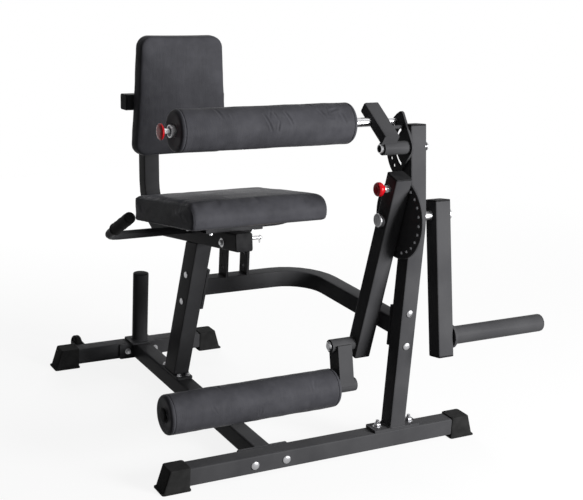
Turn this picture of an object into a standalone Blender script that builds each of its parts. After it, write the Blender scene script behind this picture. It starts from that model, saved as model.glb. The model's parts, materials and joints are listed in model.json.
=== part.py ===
"""Leg extension and hamstring machine.

A T-shaped base of square tube carries a raked seat frame and, beside it, a main upright.
On the upright turn a plate-loaded swing with a perforated selector disc, the roller lever
that locks to that disc, and a thigh roller arm that locks to a perforated sector plate.

Units are metres. While it is modelled, X runs to the right as seen from the front, Y to the
rear and Z up, with the centre tube on X = 0, the front stabilizer on Y = 0 and the floor on
Z = 0. One empty at the top then carries the middle of the footprint to the origin.
"""

import math

import bmesh
import bpy
from mathutils import Matrix, Vector

# Clearances
GAP = 0.0003
RUNNING = 0.0003
PIN_PLAY = 0.0005

# Square tube
TUBE = 0.050
WALL = 0.0025
CORNER = 0.005
CORNER_STEPS = 2
ROUND = 16
SMALL_ROUND = 12
SMALLEST_ROUND = 8
DISC_ROUND = 44
SOCKET_ROUND = 24
ARC_STEPS = 14
BEND_STEPS = 7
HANDLE_BEND_STEPS = 4
KNEE_STEPS = 3
SHARP_ANGLE = math.radians(32)
FLANGE = 0.006
FLOOR_GAP = 0.010

# Base
FRONT_LEFT = 0.287
FRONT_RIGHT = 0.640
REAR_HALF = 0.264
REAR_Y = 0.907
BASE_FLANGE_WIDTH = 0.150

# Rubber boots on the stabilizers
BOOT_WRAP = 0.055
BOOT_SKIN = 0.003
BOOT_TOE = 0.025
BOOT_LIP = 0.004
BOOT_LIP_PROUD = 0.003
BOOT_CORNER = 0.006

# Transport wheels
WHEEL_FROM_END = 0.075
WHEEL_BEHIND = 0.034
WHEEL_Z = 0.046
WHEEL_RADIUS = 0.030
WHEEL_WIDTH = 0.022
WHEEL_AXLE_RADIUS = 0.005
LUG_THICKNESS = 0.004
LUG_NOSE = 0.012
LUG_DROP = 0.016
WHEEL_SIDE_PLAY = 0.0008
WHEEL_AXLE_HEAD = 0.0015
WHEEL_HUB_WALL = 0.005
WHEEL_TREAD = 0.008
WHEEL_RECESS = 0.004
WHEEL_SHOULDER = 0.004

# Storage peg on the rear stabilizer
PEG_RADIUS = 0.025
PEG_WALL = 0.0025
STORAGE_PEG_AHEAD = 0.014
STORAGE_PEG_TOP = 0.288
STORAGE_PLATE_WIDTH = 0.080
STORAGE_PLATE_DEPTH = 0.072
PLUG_DEPTH = 0.018
PLUG_DOME = 0.004
PLUG_CROWN_SHARE = 0.6
HEAD_DOME_SHARE = 0.75

# Main upright
UPRIGHT_X = 0.398
UPRIGHT_KNEE_Y = -0.023
UPRIGHT_KNEE_Z = 0.653
UPRIGHT_TOP_Y = 0.0126
UPRIGHT_TOP_Z = 0.912
UPRIGHT_BEND = 0.250
UPRIGHT_PLATE = 0.150
BASE_PLATE = 0.0077
CAP_RIM = 0.004
CAP_SPIGOT = 0.015
CAP_BEVEL = 0.0012

# Main axis, where the swing and the lever turn
AXIS_Y = -0.011
AXIS_Z = 0.669
AXLE_RADIUS = 0.0125
BEARING_RADIUS = 0.017
BEARING_PROUD = 0.0004
AXLE_CAP_RADIUS = 0.0185
AXLE_CAP = 0.004
AXLE_NUT_RADIUS = 0.0175
AXLE_NUT = 0.010
AXLE_WASHER = 0.0025

# Selector disc
DISC_RADIUS = 0.109
DISC_THICKNESS = 0.008
DISC_HOLES = 24
DISC_HOLE_CIRCLE = 0.0927
DISC_HUB_RADIUS = 0.020
DISC_TO_UPRIGHT = 0.0088
PIN_RADIUS = 0.005
PIN_HOLE_RADIUS = PIN_RADIUS + PIN_PLAY

# Roller lever
LEVER_LEAN = math.radians(14.5)
LEVER_UP = 0.125
LEVER_DOWN = 0.423
LEVER_LEFT = 0.303
LEVER_HUB_RADIUS = 0.019
LEVER_HUB_LEFT = 0.010
LEVER_PIVOT_DOWN = 0.390
BARREL_RADIUS = 0.011
BARREL_LENGTH = 0.016
BARREL_COLLAR = 0.004
BARREL_NECK_SHARE = 0.8
KNOB_RADIUS = 0.019
KNOB_LENGTH = 0.024
KNOB_SHAPE = ((0.0, 0.55), (0.20, 0.60), (0.34, 0.92), (0.48, 1.0), (0.72, 1.0), (0.88, 0.90),
              (1.0, 0.62))

# Weight arm
WEIGHT_ARM_LEFT = 0.460
WEIGHT_ARM_LEAN = math.radians(-10.3)
WEIGHT_ARM_UP = 0.0376
WEIGHT_ARM_DOWN = 0.384
WEIGHT_PEG_DOWN = 0.336
WEIGHT_PEG_LENGTH = 0.316
COLLAR_RADIUS = 0.0345
COLLAR = 0.009

# Lower link and roller
LINK_LENGTH = 0.1145
LINK_LEAN = math.radians(-13.4)
LINK_LEFT = 0.240
LINK_WIDTH = 0.045
LINK_DEPTH = 0.050
LINK_PIVOT_TUBE_LEFT = 0.228
LINK_PIVOT_TUBE_RADIUS = 0.0185
LINK_PIN_RADIUS = 0.008
LINK_PIN_HEAD = 0.0055
LINK_PIN_HEAD_RADIUS = 0.013
LINK_SOCKET_RADIUS = 0.019
LINK_SOCKET_RIGHT = 0.300
LOWER_ROLLER_LEFT = -0.274
LOWER_ROLLER_RIGHT = 0.231
LOWER_ROLLER_RADIUS = 0.054

# Rollers
SHAFT_RADIUS = 0.0125
SHAFT_WALL = 0.0025
ROLLER_EDGE = 0.006
ROLLER_END_PUFF = 0.0012
ROLLER_CROWN = 0.001
ROLLER_ROUND = 30
ROLLER_END_STEPS = 4
ROLLER_CAP_RADIUS = 0.020
ROLLER_CAP = 0.005

# Thigh arm, rod and sector plate
THIGH_PIVOT_Y = -0.010
THIGH_PIVOT_Z = 0.860
THIGH_TUBE_RADIUS = 0.018
THIGH_TUBE_LEFT = 0.289
THIGH_PIN_RADIUS = 0.009
THIGH_PIN_HEAD_RADIUS = 0.012
THIGH_PIN_HEAD = 0.006
THIGH_ARM_LEFT = 0.280
THIGH_ARM_WIDTH = 0.045
THIGH_ARM_THICKNESS = 0.032
THIGH_ARM_SLOPE = math.radians(32.0)
THIGH_ARM_OFFSET = 0.0288
THIGH_ARM_REAR = 0.1275
THIGH_ARM_FRONT = 0.0015
THIGH_ARM_WALL = 0.003
THIGH_ROLLER_LEFT = -0.274
THIGH_ROLLER_RIGHT = 0.215
THIGH_ROLLER_RADIUS = 0.054
THIGH_NUT_RADIUS = 0.016
THIGH_NUT = 0.010
ROD_RADIUS = 0.0075
ROD_TIP_RADIUS = 0.006
ROD_LEFT = -0.300
ROD_KNOB_RADIUS = 0.020
ROD_KNOB = 0.012
SECTOR_PLATE = 0.0064
SECTOR_RADIUS = 0.098
SECTOR_HOLES = 7
SECTOR_HOLE_CIRCLE = 0.0814
SECTOR_HOLE_RADIUS = ROD_TIP_RADIUS + PIN_PLAY
THIGH_REST = math.radians(47.5)
THIGH_TRAVEL = math.radians(95.0)
SECTOR_CORNER_ANGLE = math.radians(62.0)
SECTOR_CORNER_RADIUS = 0.012
SECTOR_HUB_RADIUS = 0.024
GUIDE_CIRCLE = 0.056
GUIDE_PIN_RADIUS = 0.005
GUIDE_SLOT_HALF_WIDTH = 0.006
GUIDE_REST = math.radians(61.6)
GUIDE_SLOT_END = math.radians(66.0)

# Curved tube between the two uprights, with the perforated plates on it
BRACE_Z = 0.359
BRACE_Y = 0.515
BRACE_BEND = 0.125
BRACE_FLANGE = 0.008
BRACE_FLANGE_HEIGHT = 0.117
SEAT_FLANGE_HEIGHT = 0.132
LOCK_PLATE = 0.008
LOCK_PLATE_LEFT_X = 0.107
LOCK_PLATE_RIGHT_X = 0.176
LOCK_PLATE_HEIGHT = 0.136
LOCK_HOLES = 3
LOCK_HOLE_PITCH = 0.041
LOCK_HOLE_FROM_TOP = 0.0305
LOCK_PIN_RADIUS = 0.006
LOCK_PIN_LEFT = 0.088
LOCK_PIN_RIGHT = 0.231
LOCK_PIN_HEAD_RADIUS = 0.0074
LOCK_PIN_HEAD = 0.008
COTTER_HOLE_RADIUS = 0.002
COTTER_FROM_TIP = 0.006
LUG_LEFT = 0.1165
LUG_WIDTH = 0.050
LUG_FRONT_Y = 0.460
LUG_REAR_Y = 0.528
LUG_BELOW_PIN = 0.0195

# Seat upright
SEAT_UPRIGHT_DEPTH = 0.072
SEAT_UPRIGHT_LEAN = math.radians(16.8)
SEAT_UPRIGHT_FOOT_Y = 0.5966
SEAT_BASE_PLATE_DEPTH = 0.134
SEAT_BASE_PLATE = 0.0067

# Seat tube, post and sleeve
SEAT_TILT = math.radians(9.7)
SEAT_FRONT_Y = 0.185
SEAT_FRONT_Z = 0.582
SEAT_TUBE_RUN = 0.650
POST_LEAN = math.radians(5.5)
POST_BEND = 0.125
SLEEVE_Z = 0.884
SLEEVE_FRONT_Y = 0.785
SLEEVE_REAR_Y = 0.900
BRACKET_WIDTH = 0.170
BRACKET_DEPTH = 0.040
BRACKET_HEIGHT = 0.030
BRACKET_FRONT_RUN = 0.070
BRACKET_REAR_RUN = 0.220

# Seat pad
SEAT_WIDTH = 0.396
SEAT_FRONT_RUN = -0.116
SEAT_REAR_RUN = 0.280
SEAT_UNDER = 0.054
SEAT_TOP = 0.122
SEAT_CORNER = 0.028
SEAT_EDGE = 0.010
SEAT_FRONT_EDGE = 0.042
SEAT_FRONT_FOOT = 0.012
SEAT_CROWN = 0.009
SEAT_DRAW_IN = 0.004
BOARD_INSET = 0.016
BOARD_SUNK = 0.008
PAD_BELLY = 0.0025
PAD_BELLY_SHARE = 0.35
PAD_FOOT = 0.004
PAD_CORNER_STEPS = 4
PAD_SIDE_STEPS = 6
PAD_CROWN_RINGS = (0.86, 0.62, 0.34, 0.12)
SEAT_FRONT_SHARE = 0.72

# Handle bar and grips
HANDLE_RUN = 0.290
HANDLE_LIFT = 0.014
HANDLE_HALF = 0.278
HANDLE_REACH = 0.196
HANDLE_RISE = math.radians(29.3)
HANDLE_BEND = 0.035
HANDLE_RADIUS = 0.0125
HANDLE_WALL = 0.002
GRIP_LENGTH = 0.118
GRIP_RADIUS = 0.016
GRIP_END = 0.004
GRIP_END_SHARE = 0.82
GRIP_SWELL = 0.0008
GRIP_BEAD = 0.0015
GRIP_BEAD_LENGTH = 0.005
GRIP_RINGS = 6

# Backrest
BACK_TOP_WIDTH = 0.256
BACK_FOOT_WIDTH = 0.294
BACK_LOW = -0.151
BACK_HIGH = 0.191
BACK_LEAN = math.radians(3.5)
BACK_CORNER = 0.036
BACK_EDGE = 0.009
BACK_CROWN = 0.005
BACK_DRAW_IN = 0.003
BACK_THICKNESS = 0.046
BACK_BOARD = 0.012
T_BAR = 0.045
T_BAR_HALF = 0.151
T_BAR_Y = 0.672
CARRIAGE = 0.040
CARRIAGE_WALL = 0.0025
CARRIAGE_REAR_Y = 0.898
BACK_PIN_Y = 0.815
BACK_HOLES = 7
BACK_HOLE_PITCH = 0.020

# Places worked out from the sizes above
TUBE_MID_Z = FLOOR_GAP + TUBE / 2
TUBE_TOP_Z = FLOOR_GAP + TUBE
REAR_FRONT_Y = REAR_Y - TUBE / 2
WHEEL_X = REAR_HALF - WHEEL_FROM_END
STORAGE_PEG_Y = REAR_Y - STORAGE_PEG_AHEAD
UPRIGHT_LEFT = UPRIGHT_X - TUBE / 2
UPRIGHT_RIGHT = UPRIGHT_X + TUBE / 2
DISC_RIGHT = UPRIGHT_LEFT - DISC_TO_UPRIGHT
DISC_LEFT = DISC_RIGHT - DISC_THICKNESS
LEVER_MID = LEVER_LEFT + TUBE / 2
LEVER_RIGHT = LEVER_LEFT + TUBE
WEIGHT_ARM_MID = WEIGHT_ARM_LEFT + TUBE / 2
WEIGHT_ARM_RIGHT = WEIGHT_ARM_LEFT + TUBE
AXLE_LEFT = LEVER_LEFT - LEVER_HUB_LEFT - RUNNING
BRACE_TOP_Z = BRACE_Z + TUBE / 2
BACK_WIDTH = (BACK_TOP_WIDTH + BACK_FOOT_WIDTH) / 2
LOCK_PLATE_TOP = BRACE_TOP_Z + LOCK_PLATE_HEIGHT
LOCK_HOLE_TOP_Z = LOCK_PLATE_TOP - LOCK_HOLE_FROM_TOP
LUG_LOW_Z = LOCK_HOLE_TOP_Z - LUG_BELOW_PIN

# Finishes: colour, roughness and metallic value
POWDER_COAT = ((0.018, 0.018, 0.020), 0.38, 0.0)
VINYL = ((0.022, 0.021, 0.026), 0.42, 0.0)
RUBBER = ((0.012, 0.012, 0.012), 0.75, 0.0)
CHROME = ((0.78, 0.78, 0.79), 0.16, 1.0)
ZINC = ((0.62, 0.62, 0.64), 0.35, 1.0)
RED_PLASTIC = ((0.42, 0.010, 0.012), 0.28, 0.0)
PLYWOOD = ((0.12, 0.08, 0.05), 0.80, 0.0)


# Points and directions

def in_depth(y, z):
    """A direction or place in the Y-Z plane."""
    return Vector((0.0, y, z))


def down_along(lean):
    """The way down a hanging arm whose foot leans to the rear by this angle."""
    return in_depth(math.sin(lean), -math.cos(lean))


def at(x, place):
    """A place of the Y-Z plane at a given X."""
    return Vector((x, place.y, place.z))


MAIN_AXIS = in_depth(AXIS_Y, AXIS_Z)
THIGH_AXIS = in_depth(THIGH_PIVOT_Y, THIGH_PIVOT_Z)
LEVER_DOWNWARD = down_along(LEVER_LEAN)
WEIGHT_DOWNWARD = down_along(WEIGHT_ARM_LEAN)
LINK_AXIS = MAIN_AXIS + LEVER_DOWNWARD * LEVER_PIVOT_DOWN
LOWER_ROLLER_AXIS = LINK_AXIS + down_along(LINK_LEAN) * LINK_LENGTH
PIN_PLACE = MAIN_AXIS - LEVER_DOWNWARD * DISC_HOLE_CIRCLE
WEIGHT_PEG_PLACE = MAIN_AXIS + WEIGHT_DOWNWARD * WEIGHT_PEG_DOWN
SEAT_ALONG = in_depth(math.cos(SEAT_TILT), -math.sin(SEAT_TILT))
SEAT_NORMAL = in_depth(math.sin(SEAT_TILT), math.cos(SEAT_TILT))
SEAT_FRONT = in_depth(SEAT_FRONT_Y, SEAT_FRONT_Z)
POST_UP = in_depth(math.sin(POST_LEAN), math.cos(POST_LEAN))
BACK_UP = in_depth(math.sin(BACK_LEAN), math.cos(BACK_LEAN))
BACK_FORWARD = in_depth(-math.cos(BACK_LEAN), math.sin(BACK_LEAN))
T_BAR_PLACE = in_depth(T_BAR_Y, SLEEVE_Z)
LOCK_PLACE = in_depth(BRACE_Y, LOCK_HOLE_TOP_Z)
WHEEL_PLACE = in_depth(REAR_Y + TUBE / 2 + WHEEL_BEHIND, WHEEL_Z)


def on_plate(radius, angle):
    """A place around the thigh axis, the angle measured up from the rear."""
    return THIGH_AXIS + in_depth(radius * math.cos(angle), radius * math.sin(angle))


THIGH_ROLLER_AXIS = on_plate(SECTOR_HOLE_CIRCLE, THIGH_REST)


def on_seat(run, lift):
    """A place in the seat's own frame: run to the rear along the tube, lift off its middle."""
    return SEAT_FRONT + SEAT_ALONG * run + SEAT_NORMAL * lift


# The hinge axes and slides: body name to its pivot and the body that carries it
PIVOTS = {
    "frame": (Vector((0.0, 0.0, 0.0)), None),
    "weight_swing": (at(UPRIGHT_X, MAIN_AXIS), "frame"),
    "lever": (at(LEVER_MID, MAIN_AXIS), "weight_swing"),
    "lever_pull_pin": (at(LEVER_LEFT, PIN_PLACE), "lever"),
    "lower_link": (at(LINK_LEFT, LINK_AXIS), "lever"),
    "lower_roller": (at(0.0, LOWER_ROLLER_AXIS), "lower_link"),
    "thigh_arm": (at(THIGH_ARM_LEFT, THIGH_AXIS), "frame"),
    "thigh_roller": (at(0.0, THIGH_ROLLER_AXIS), "thigh_arm"),
    "thigh_rod": (at(ROD_LEFT, THIGH_ROLLER_AXIS), "thigh_arm"),
    "hitch_pin": (at(LOCK_PIN_LEFT, LOCK_PLACE), "frame"),
    "backrest": (T_BAR_PLACE, "frame"),
    "back_pull_pin": (in_depth(BACK_PIN_Y, SLEEVE_Z + TUBE / 2), "frame"),
    "wheel_left": (at(-WHEEL_X, WHEEL_PLACE), "frame"),
    "wheel_right": (at(WHEEL_X, WHEEL_PLACE), "frame"),
}


# Profiles

def rounded_rectangle(width, depth, radius):
    """Points of a rectangle with round corners, as pairs about its middle."""
    points = []
    for side, end, start in ((1, 1, 0), (-1, 1, 90), (-1, -1, 180), (1, -1, 270)):
        for step in range(CORNER_STEPS + 1):
            angle = math.radians(start + 90 * step / CORNER_STEPS)
            across = side * (width / 2 - radius) + radius * math.cos(angle)
            along = end * (depth / 2 - radius) + radius * math.sin(angle)
            points.append((across, along))
    return points


def square_profile(size=TUBE, depth=None, corner=CORNER):
    """The outside of a square or rectangular tube."""
    return rounded_rectangle(size, size if depth is None else depth, corner)


def square_bore(size=TUBE, depth=None, wall=WALL, corner=CORNER):
    """The inside of the same tube."""
    other = size if depth is None else depth
    return rounded_rectangle(size - 2 * wall, other - 2 * wall, corner - wall)


def circle(radius, count=ROUND):
    """Points of a circle."""
    return [(radius * math.cos(math.tau * i / count), radius * math.sin(math.tau * i / count))
            for i in range(count)]


def arc(centre, radius, start, end, steps):
    """Places on an arc in the Y-Z plane, both ends included."""
    angles = [start + (end - start) * i / steps for i in range(steps + 1)]
    return [centre + in_depth(radius * math.cos(a), radius * math.sin(a)) for a in angles]


def bent_path(corners, radius=0.0, steps=1):
    """Stations along straight runs joined by arcs: a place and the direction there."""
    stations = [(corners[0], (corners[1] - corners[0]).normalized())]
    for before, corner, after in zip(corners, corners[1:], corners[2:]):
        inward = (corner - before).normalized()
        outward = (after - corner).normalized()
        turn = inward.angle(outward)
        start = corner - inward * radius * math.tan(turn / 2)
        axis = inward.cross(outward).normalized()
        centre = start + axis.cross(inward) * radius
        for step in range(steps + 1):
            rotation = Matrix.Rotation(turn * step / steps, 3, axis)
            stations.append((centre + rotation @ (start - centre), rotation @ inward))
    stations.append((corners[-1], (corners[-1] - corners[-2]).normalized()))
    return stations


# Meshes

def new_object(name, mesh_builder):
    """An object from a bmesh whose faces are turned outward."""
    bmesh.ops.recalc_face_normals(mesh_builder, faces=mesh_builder.faces)
    mesh = bpy.data.meshes.new(name)
    mesh_builder.to_mesh(mesh)
    mesh_builder.free()
    thing = bpy.data.objects.new(name, mesh)
    bpy.context.scene.collection.objects.link(thing)
    return thing


def join_rings(builder, lower, upper):
    """Quads between two rings of as many vertices."""
    count = len(lower)
    for i in range(count):
        j = (i + 1) % count
        builder.faces.new((lower[i], lower[j], upper[j], upper[i]))


def sweep(name, stations, outline, bore=None, across=(1.0, 0.0, 0.0), cuts=(None, None)):
    """A bar or, with a bore, an open tube along a flat path.

    The outline's first number runs along across, which is square to the path's plane.
    A cut is the normal of the plane that an end is sawn to, where it isn't square.
    """
    builder = bmesh.new()
    across = Vector(across)
    last = len(stations) - 1

    def ring(points, index):
        place, direction = stations[index]
        second = direction.cross(across)
        cut = cuts[0] if index == 0 else cuts[1] if index == last else None
        vertices = []
        for first_number, second_number in points:
            offset = across * first_number + second * second_number
            if cut is not None:
                offset -= direction * (offset.dot(cut) / direction.dot(cut))
            vertices.append(builder.verts.new(place + offset))
        return vertices

    skins = [[ring(points, i) for i in range(last + 1)] for points in (outline, bore) if points]
    for skin in skins:
        for lower, upper in zip(skin, skin[1:]):
            join_rings(builder, lower, upper)
    for end in (0, last):
        if bore:
            join_rings(builder, skins[0][end], skins[1][end])
        else:
            builder.faces.new(skins[0][end])
    return new_object(name, builder)


def straight(name, start, end, outline, bore=None, across=(1.0, 0.0, 0.0), cuts=(None, None)):
    """A straight bar or tube between two places."""
    return sweep(name, bent_path([Vector(start), Vector(end)]), outline, bore, across, cuts)


def cross_bar(name, left, right, place, radius, bore=None, count=ROUND):
    """A round bar or tube that lies along X."""
    inner = circle(bore, count) if bore else None
    return straight(name, at(left, place), at(right, place), circle(radius, count), inner,
                    across=(0.0, 1.0, 0.0))


def prism(name, places, left, right):
    """An outline of the Y-Z plane drawn out along X."""
    builder = bmesh.new()
    rings = [[builder.verts.new(at(x, place)) for place in places] for x in (left, right)]
    join_rings(builder, rings[0], rings[1])
    for ring in rings:
        builder.faces.new(ring)
    return new_object(name, builder)


def turned(name, place, profile, axis=(1.0, 0.0, 0.0), count=ROUND, hollow=False):
    """A turned piece: pairs of distance along the axis and radius, hollow if they close."""
    builder = bmesh.new()
    axis = Vector(axis).normalized()
    first = axis.orthogonal().normalized()
    second = axis.cross(first)
    rings = []
    for along, radius in profile:
        ring = [builder.verts.new(Vector(place) + axis * along + first * a + second * b)
                for a, b in circle(radius, count)]
        rings.append(ring)
    for lower, upper in zip(rings, rings[1:]):
        join_rings(builder, lower, upper)
    if hollow:
        join_rings(builder, rings[-1], rings[0])
    else:
        builder.faces.new(rings[0])
        builder.faces.new(rings[-1])
    return new_object(name, builder)


def stacked(name, levels, place):
    """A loft of level outlines: each level is a place and the outline's pairs."""
    builder = bmesh.new()
    rings = [[builder.verts.new(place(a, b, level)) for a, b in points]
             for level, points in levels]
    for lower, upper in zip(rings, rings[1:]):
        join_rings(builder, lower, upper)
    builder.faces.new(rings[0])
    builder.faces.new(rings[-1])
    return new_object(name, builder)


def combine(thing, tool, operation):
    """Add or cut a second solid, which is then gone."""
    modifier = thing.modifiers.new(operation.lower(), "BOOLEAN")
    modifier.operation = operation
    modifier.object = tool
    modifier.solver = "EXACT"
    graph = bpy.context.evaluated_depsgraph_get()
    mesh = bpy.data.meshes.new_from_object(thing.evaluated_get(graph))
    thing.modifiers.clear()
    plain = thing.data
    thing.data = mesh
    bpy.data.meshes.remove(plain)
    spent = tool.data
    bpy.data.objects.remove(tool)
    bpy.data.meshes.remove(spent)
    return thing


def weld(thing, *others):
    """Fuse solids with the first one."""
    for other in others:
        combine(thing, other, "UNION")
    return thing


def cut(thing, *tools):
    """Cut solids out of the first one."""
    for tool in tools:
        combine(thing, tool, "DIFFERENCE")
    return thing


def drill(thing, left, right, place, radius, count=SMALL_ROUND):
    """A round hole along X."""
    return cut(thing, cross_bar("drill", left, right, place, radius, count=count))


def finish(thing, body, look):
    """Give a piece its own material, shade its round faces and hang it on its body."""
    colour, roughness, metallic = look
    material = bpy.data.materials.new(thing.name)
    material.use_nodes = True
    shader = material.node_tree.nodes["Principled BSDF"]
    shader.inputs["Base Color"].default_value = (*colour, 1.0)
    shader.inputs["Roughness"].default_value = roughness
    shader.inputs["Metallic"].default_value = metallic
    thing.data.materials.clear()
    thing.data.materials.append(material)
    thing.data.transform(Matrix.Translation(-PIVOTS[body][0]))
    thing.data.shade_smooth()
    thing.data.set_sharp_from_angle(angle=SHARP_ANGLE)
    thing.parent = bpy.data.objects[body + "_pivot"]


# Pieces that repeat

def end_cap(name, body, place, outward, across, size=TUBE, depth=None, wall=WALL):
    """A moulded cap: a bevelled rim over a tube's end, and a spigot inside it."""
    outer = square_profile(size, depth)
    rim = square_profile(size - 2 * CAP_BEVEL, None if depth is None else depth - 2 * CAP_BEVEL)
    inside = wall + RUNNING
    spigot = square_bore(size, depth, inside, CORNER + RUNNING)
    across = Vector(across)
    second = Vector(outward).cross(across)
    levels = [(-CAP_SPIGOT, spigot), (GAP, spigot), (GAP, outer),
              (GAP + CAP_RIM - CAP_BEVEL, outer), (GAP + CAP_RIM, rim)]

    def placed(a, b, level):
        return Vector(place) + Vector(outward) * level + across * a + second * b

    finish(stacked(name, levels, placed), body, RUBBER)


def pipe_plug(name, body, place, outward, radius, wall):
    """A domed plug in the open end of a pipe."""
    inside = radius - wall - RUNNING
    profile = [(-PLUG_DEPTH, inside), (GAP, inside), (GAP, radius),
               (GAP + PLUG_DOME / 2, radius - CAP_BEVEL / 2),
               (GAP + PLUG_DOME, radius * PLUG_CROWN_SHARE)]
    finish(turned(name, place, profile, outward), body, RUBBER)


def roller_foam(name, body, left, right, place, radius):
    """A padded roller: flat ends with a round edge, a slight crown, a bore for its shaft."""
    half = (right - left) / 2
    bore = SHAFT_RADIUS + RUNNING
    rim = half - ROLLER_END_PUFF
    flat = radius - ROLLER_CROWN - ROLLER_EDGE
    end = [(rim - ROLLER_EDGE * (1 - math.sin(a)), flat + ROLLER_EDGE * math.cos(a))
           for a in (math.radians(90 - 90 * step / ROLLER_END_STEPS)
                     for step in range(ROLLER_END_STEPS + 1))]
    profile = [(-half, bore)]
    profile += [(-along, r) for along, r in end]
    profile += [(0.0, radius)]
    profile += [(along, r) for along, r in reversed(end)]
    profile += [(half, bore)]
    middle = at((left + right) / 2, place)
    finish(turned(name, middle, profile, count=ROLLER_ROUND, hollow=True), body, VINYL)


def pull_knob(name, body, place, outward, radius, length):
    """A round moulded knob, waisted behind its crown."""
    profile = [(length * along, radius * share) for along, share in KNOB_SHAPE]
    finish(turned(name, place, profile, outward), body, RED_PLASTIC)


# Base

def boot(name, end_x, side, centre_y):
    """A rubber boot over a stabilizer's end, its toe sloped out to a lip on the floor."""
    inner_x = end_x - side * BOOT_WRAP
    cover = end_x + side * (GAP + BOOT_SKIN)
    toe = end_x + side * BOOT_TOE
    body_depth = TUBE + 2 * (GAP + BOOT_SKIN)
    lip_depth = body_depth + 2 * BOOT_LIP_PROUD
    top = TUBE_TOP_Z + GAP + BOOT_SKIN

    def outline(inner, outer, depth):
        middle = (inner + outer) / 2
        plain = rounded_rectangle(abs(outer - inner), depth, BOOT_CORNER)
        return [(middle + a, centre_y + b) for a, b in plain]

    lip_inner = inner_x - side * BOOT_SKIN / 2
    soft = BOOT_SKIN / 2
    levels = [(0.0, outline(lip_inner, toe, lip_depth)),
              (BOOT_LIP, outline(lip_inner, toe, lip_depth)),
              (BOOT_LIP, outline(inner_x, toe - side * BOOT_LIP, body_depth)),
              (top - soft, outline(inner_x, cover, body_depth)),
              (top, outline(inner_x + side * soft, cover - side * soft, body_depth - 2 * soft))]
    shell = stacked(name, levels, lambda a, b, level: Vector((a, b, level)))
    pocket = straight("pocket", (inner_x - side * BOOT_TOE, centre_y, TUBE_MID_Z),
                      (end_x + side * GAP, centre_y, TUBE_MID_Z),
                      square_profile(TUBE + 2 * GAP), across=(0.0, 1.0, 0.0))
    finish(cut(shell, pocket), "frame", RUBBER)


def front_stabilizer():
    """The long tube under the front of the seat and the upright."""
    tube = straight("front_stabilizer", (-FRONT_LEFT, 0.0, TUBE_MID_Z),
                    (FRONT_RIGHT, 0.0, TUBE_MID_Z),
                    square_profile(), square_bore(), across=(0.0, 1.0, 0.0))
    finish(tube, "frame", POWDER_COAT)


def wheel_lug(x):
    """One ear that holds a transport wheel's axle."""
    face = REAR_Y + TUBE / 2 - WALL / 2
    nose = arc(WHEEL_PLACE, LUG_NOSE, -math.pi / 2, math.pi / 2, BEND_STEPS)
    outline = [in_depth(face, WHEEL_Z - LUG_DROP)] + nose + [in_depth(face, WHEEL_Z + LUG_NOSE)]
    return prism("lug", outline, x - LUG_THICKNESS / 2, x + LUG_THICKNESS / 2)


def rear_stabilizer():
    """The rear cross tube with the ears and axles of the transport wheels."""
    tube = straight("rear_stabilizer", (-REAR_HALF, REAR_Y, TUBE_MID_Z),
                    (REAR_HALF, REAR_Y, TUBE_MID_Z),
                    square_profile(), square_bore(), across=(0.0, 1.0, 0.0))
    reach = WHEEL_WIDTH / 2 + WHEEL_SIDE_PLAY + LUG_THICKNESS / 2
    proud = reach + LUG_THICKNESS / 2 + WHEEL_AXLE_HEAD
    for x in (-WHEEL_X, WHEEL_X):
        axle = cross_bar("axle", x - proud, x + proud, WHEEL_PLACE, WHEEL_AXLE_RADIUS,
                         count=SMALL_ROUND)
        weld(axle, wheel_lug(x - reach), wheel_lug(x + reach))
        weld(tube, axle)
    finish(tube, "frame", POWDER_COAT)


def transport_wheel(name, x):
    """A small wheel with a rounded tread and a recessed web."""
    half = WHEEL_WIDTH / 2
    bore = WHEEL_AXLE_RADIUS + RUNNING
    hub = bore + WHEEL_HUB_WALL
    web = WHEEL_RADIUS - WHEEL_TREAD
    floor = half - WHEEL_RECESS
    side = [(half, bore), (half, hub), (floor, hub), (floor, web), (half, web),
            (half, WHEEL_RADIUS - WHEEL_SHOULDER), (half - WHEEL_SHOULDER, WHEEL_RADIUS)]
    profile = side + [(-along, radius) for along, radius in reversed(side)]
    finish(turned(name, at(x, WHEEL_PLACE), profile, hollow=True), name, RUBBER)


def centre_tube():
    """The spine between the stabilizers, with a bolting flange at each end."""
    front = TUBE / 2 + GAP
    rear = REAR_FRONT_Y - GAP
    tube = straight("centre_tube", (0.0, front + WALL, TUBE_MID_Z), (0.0, rear - WALL, TUBE_MID_Z),
                    square_profile(), square_bore())
    window = square_bore(wall=2 * WALL)
    for near, far in ((front, front + FLANGE), (rear - FLANGE, rear)):
        flange = straight("flange", (0.0, near, TUBE_MID_Z), (0.0, far, TUBE_MID_Z),
                          rounded_rectangle(BASE_FLANGE_WIDTH, TUBE - 2 * GAP, CORNER))
        weld(tube, flange)
        cut(tube, straight("window", (0.0, near - FLANGE, TUBE_MID_Z),
                           (0.0, far + FLANGE, TUBE_MID_Z), window))
    finish(tube, "frame", POWDER_COAT)


def storage_peg():
    """The pipe that stores weight plates, standing on its plate, and its plug."""
    plate_low = in_depth(STORAGE_PEG_Y, TUBE_TOP_Z + GAP)
    plate_top = plate_low + in_depth(0.0, FLANGE)
    top = in_depth(STORAGE_PEG_Y, STORAGE_PEG_TOP)
    plate = straight("plate", plate_low, plate_top,
                     rounded_rectangle(STORAGE_PLATE_WIDTH, STORAGE_PLATE_DEPTH, CORNER))
    pipe = straight("storage_peg", plate_top - in_depth(0.0, WALL), top,
                    circle(PEG_RADIUS), circle(PEG_RADIUS - PEG_WALL))
    finish(weld(pipe, plate), "frame", POWDER_COAT)
    pipe_plug("storage_peg_plug", "frame", top, in_depth(0.0, 1.0), PEG_RADIUS, PEG_WALL)


# Main upright

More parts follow.
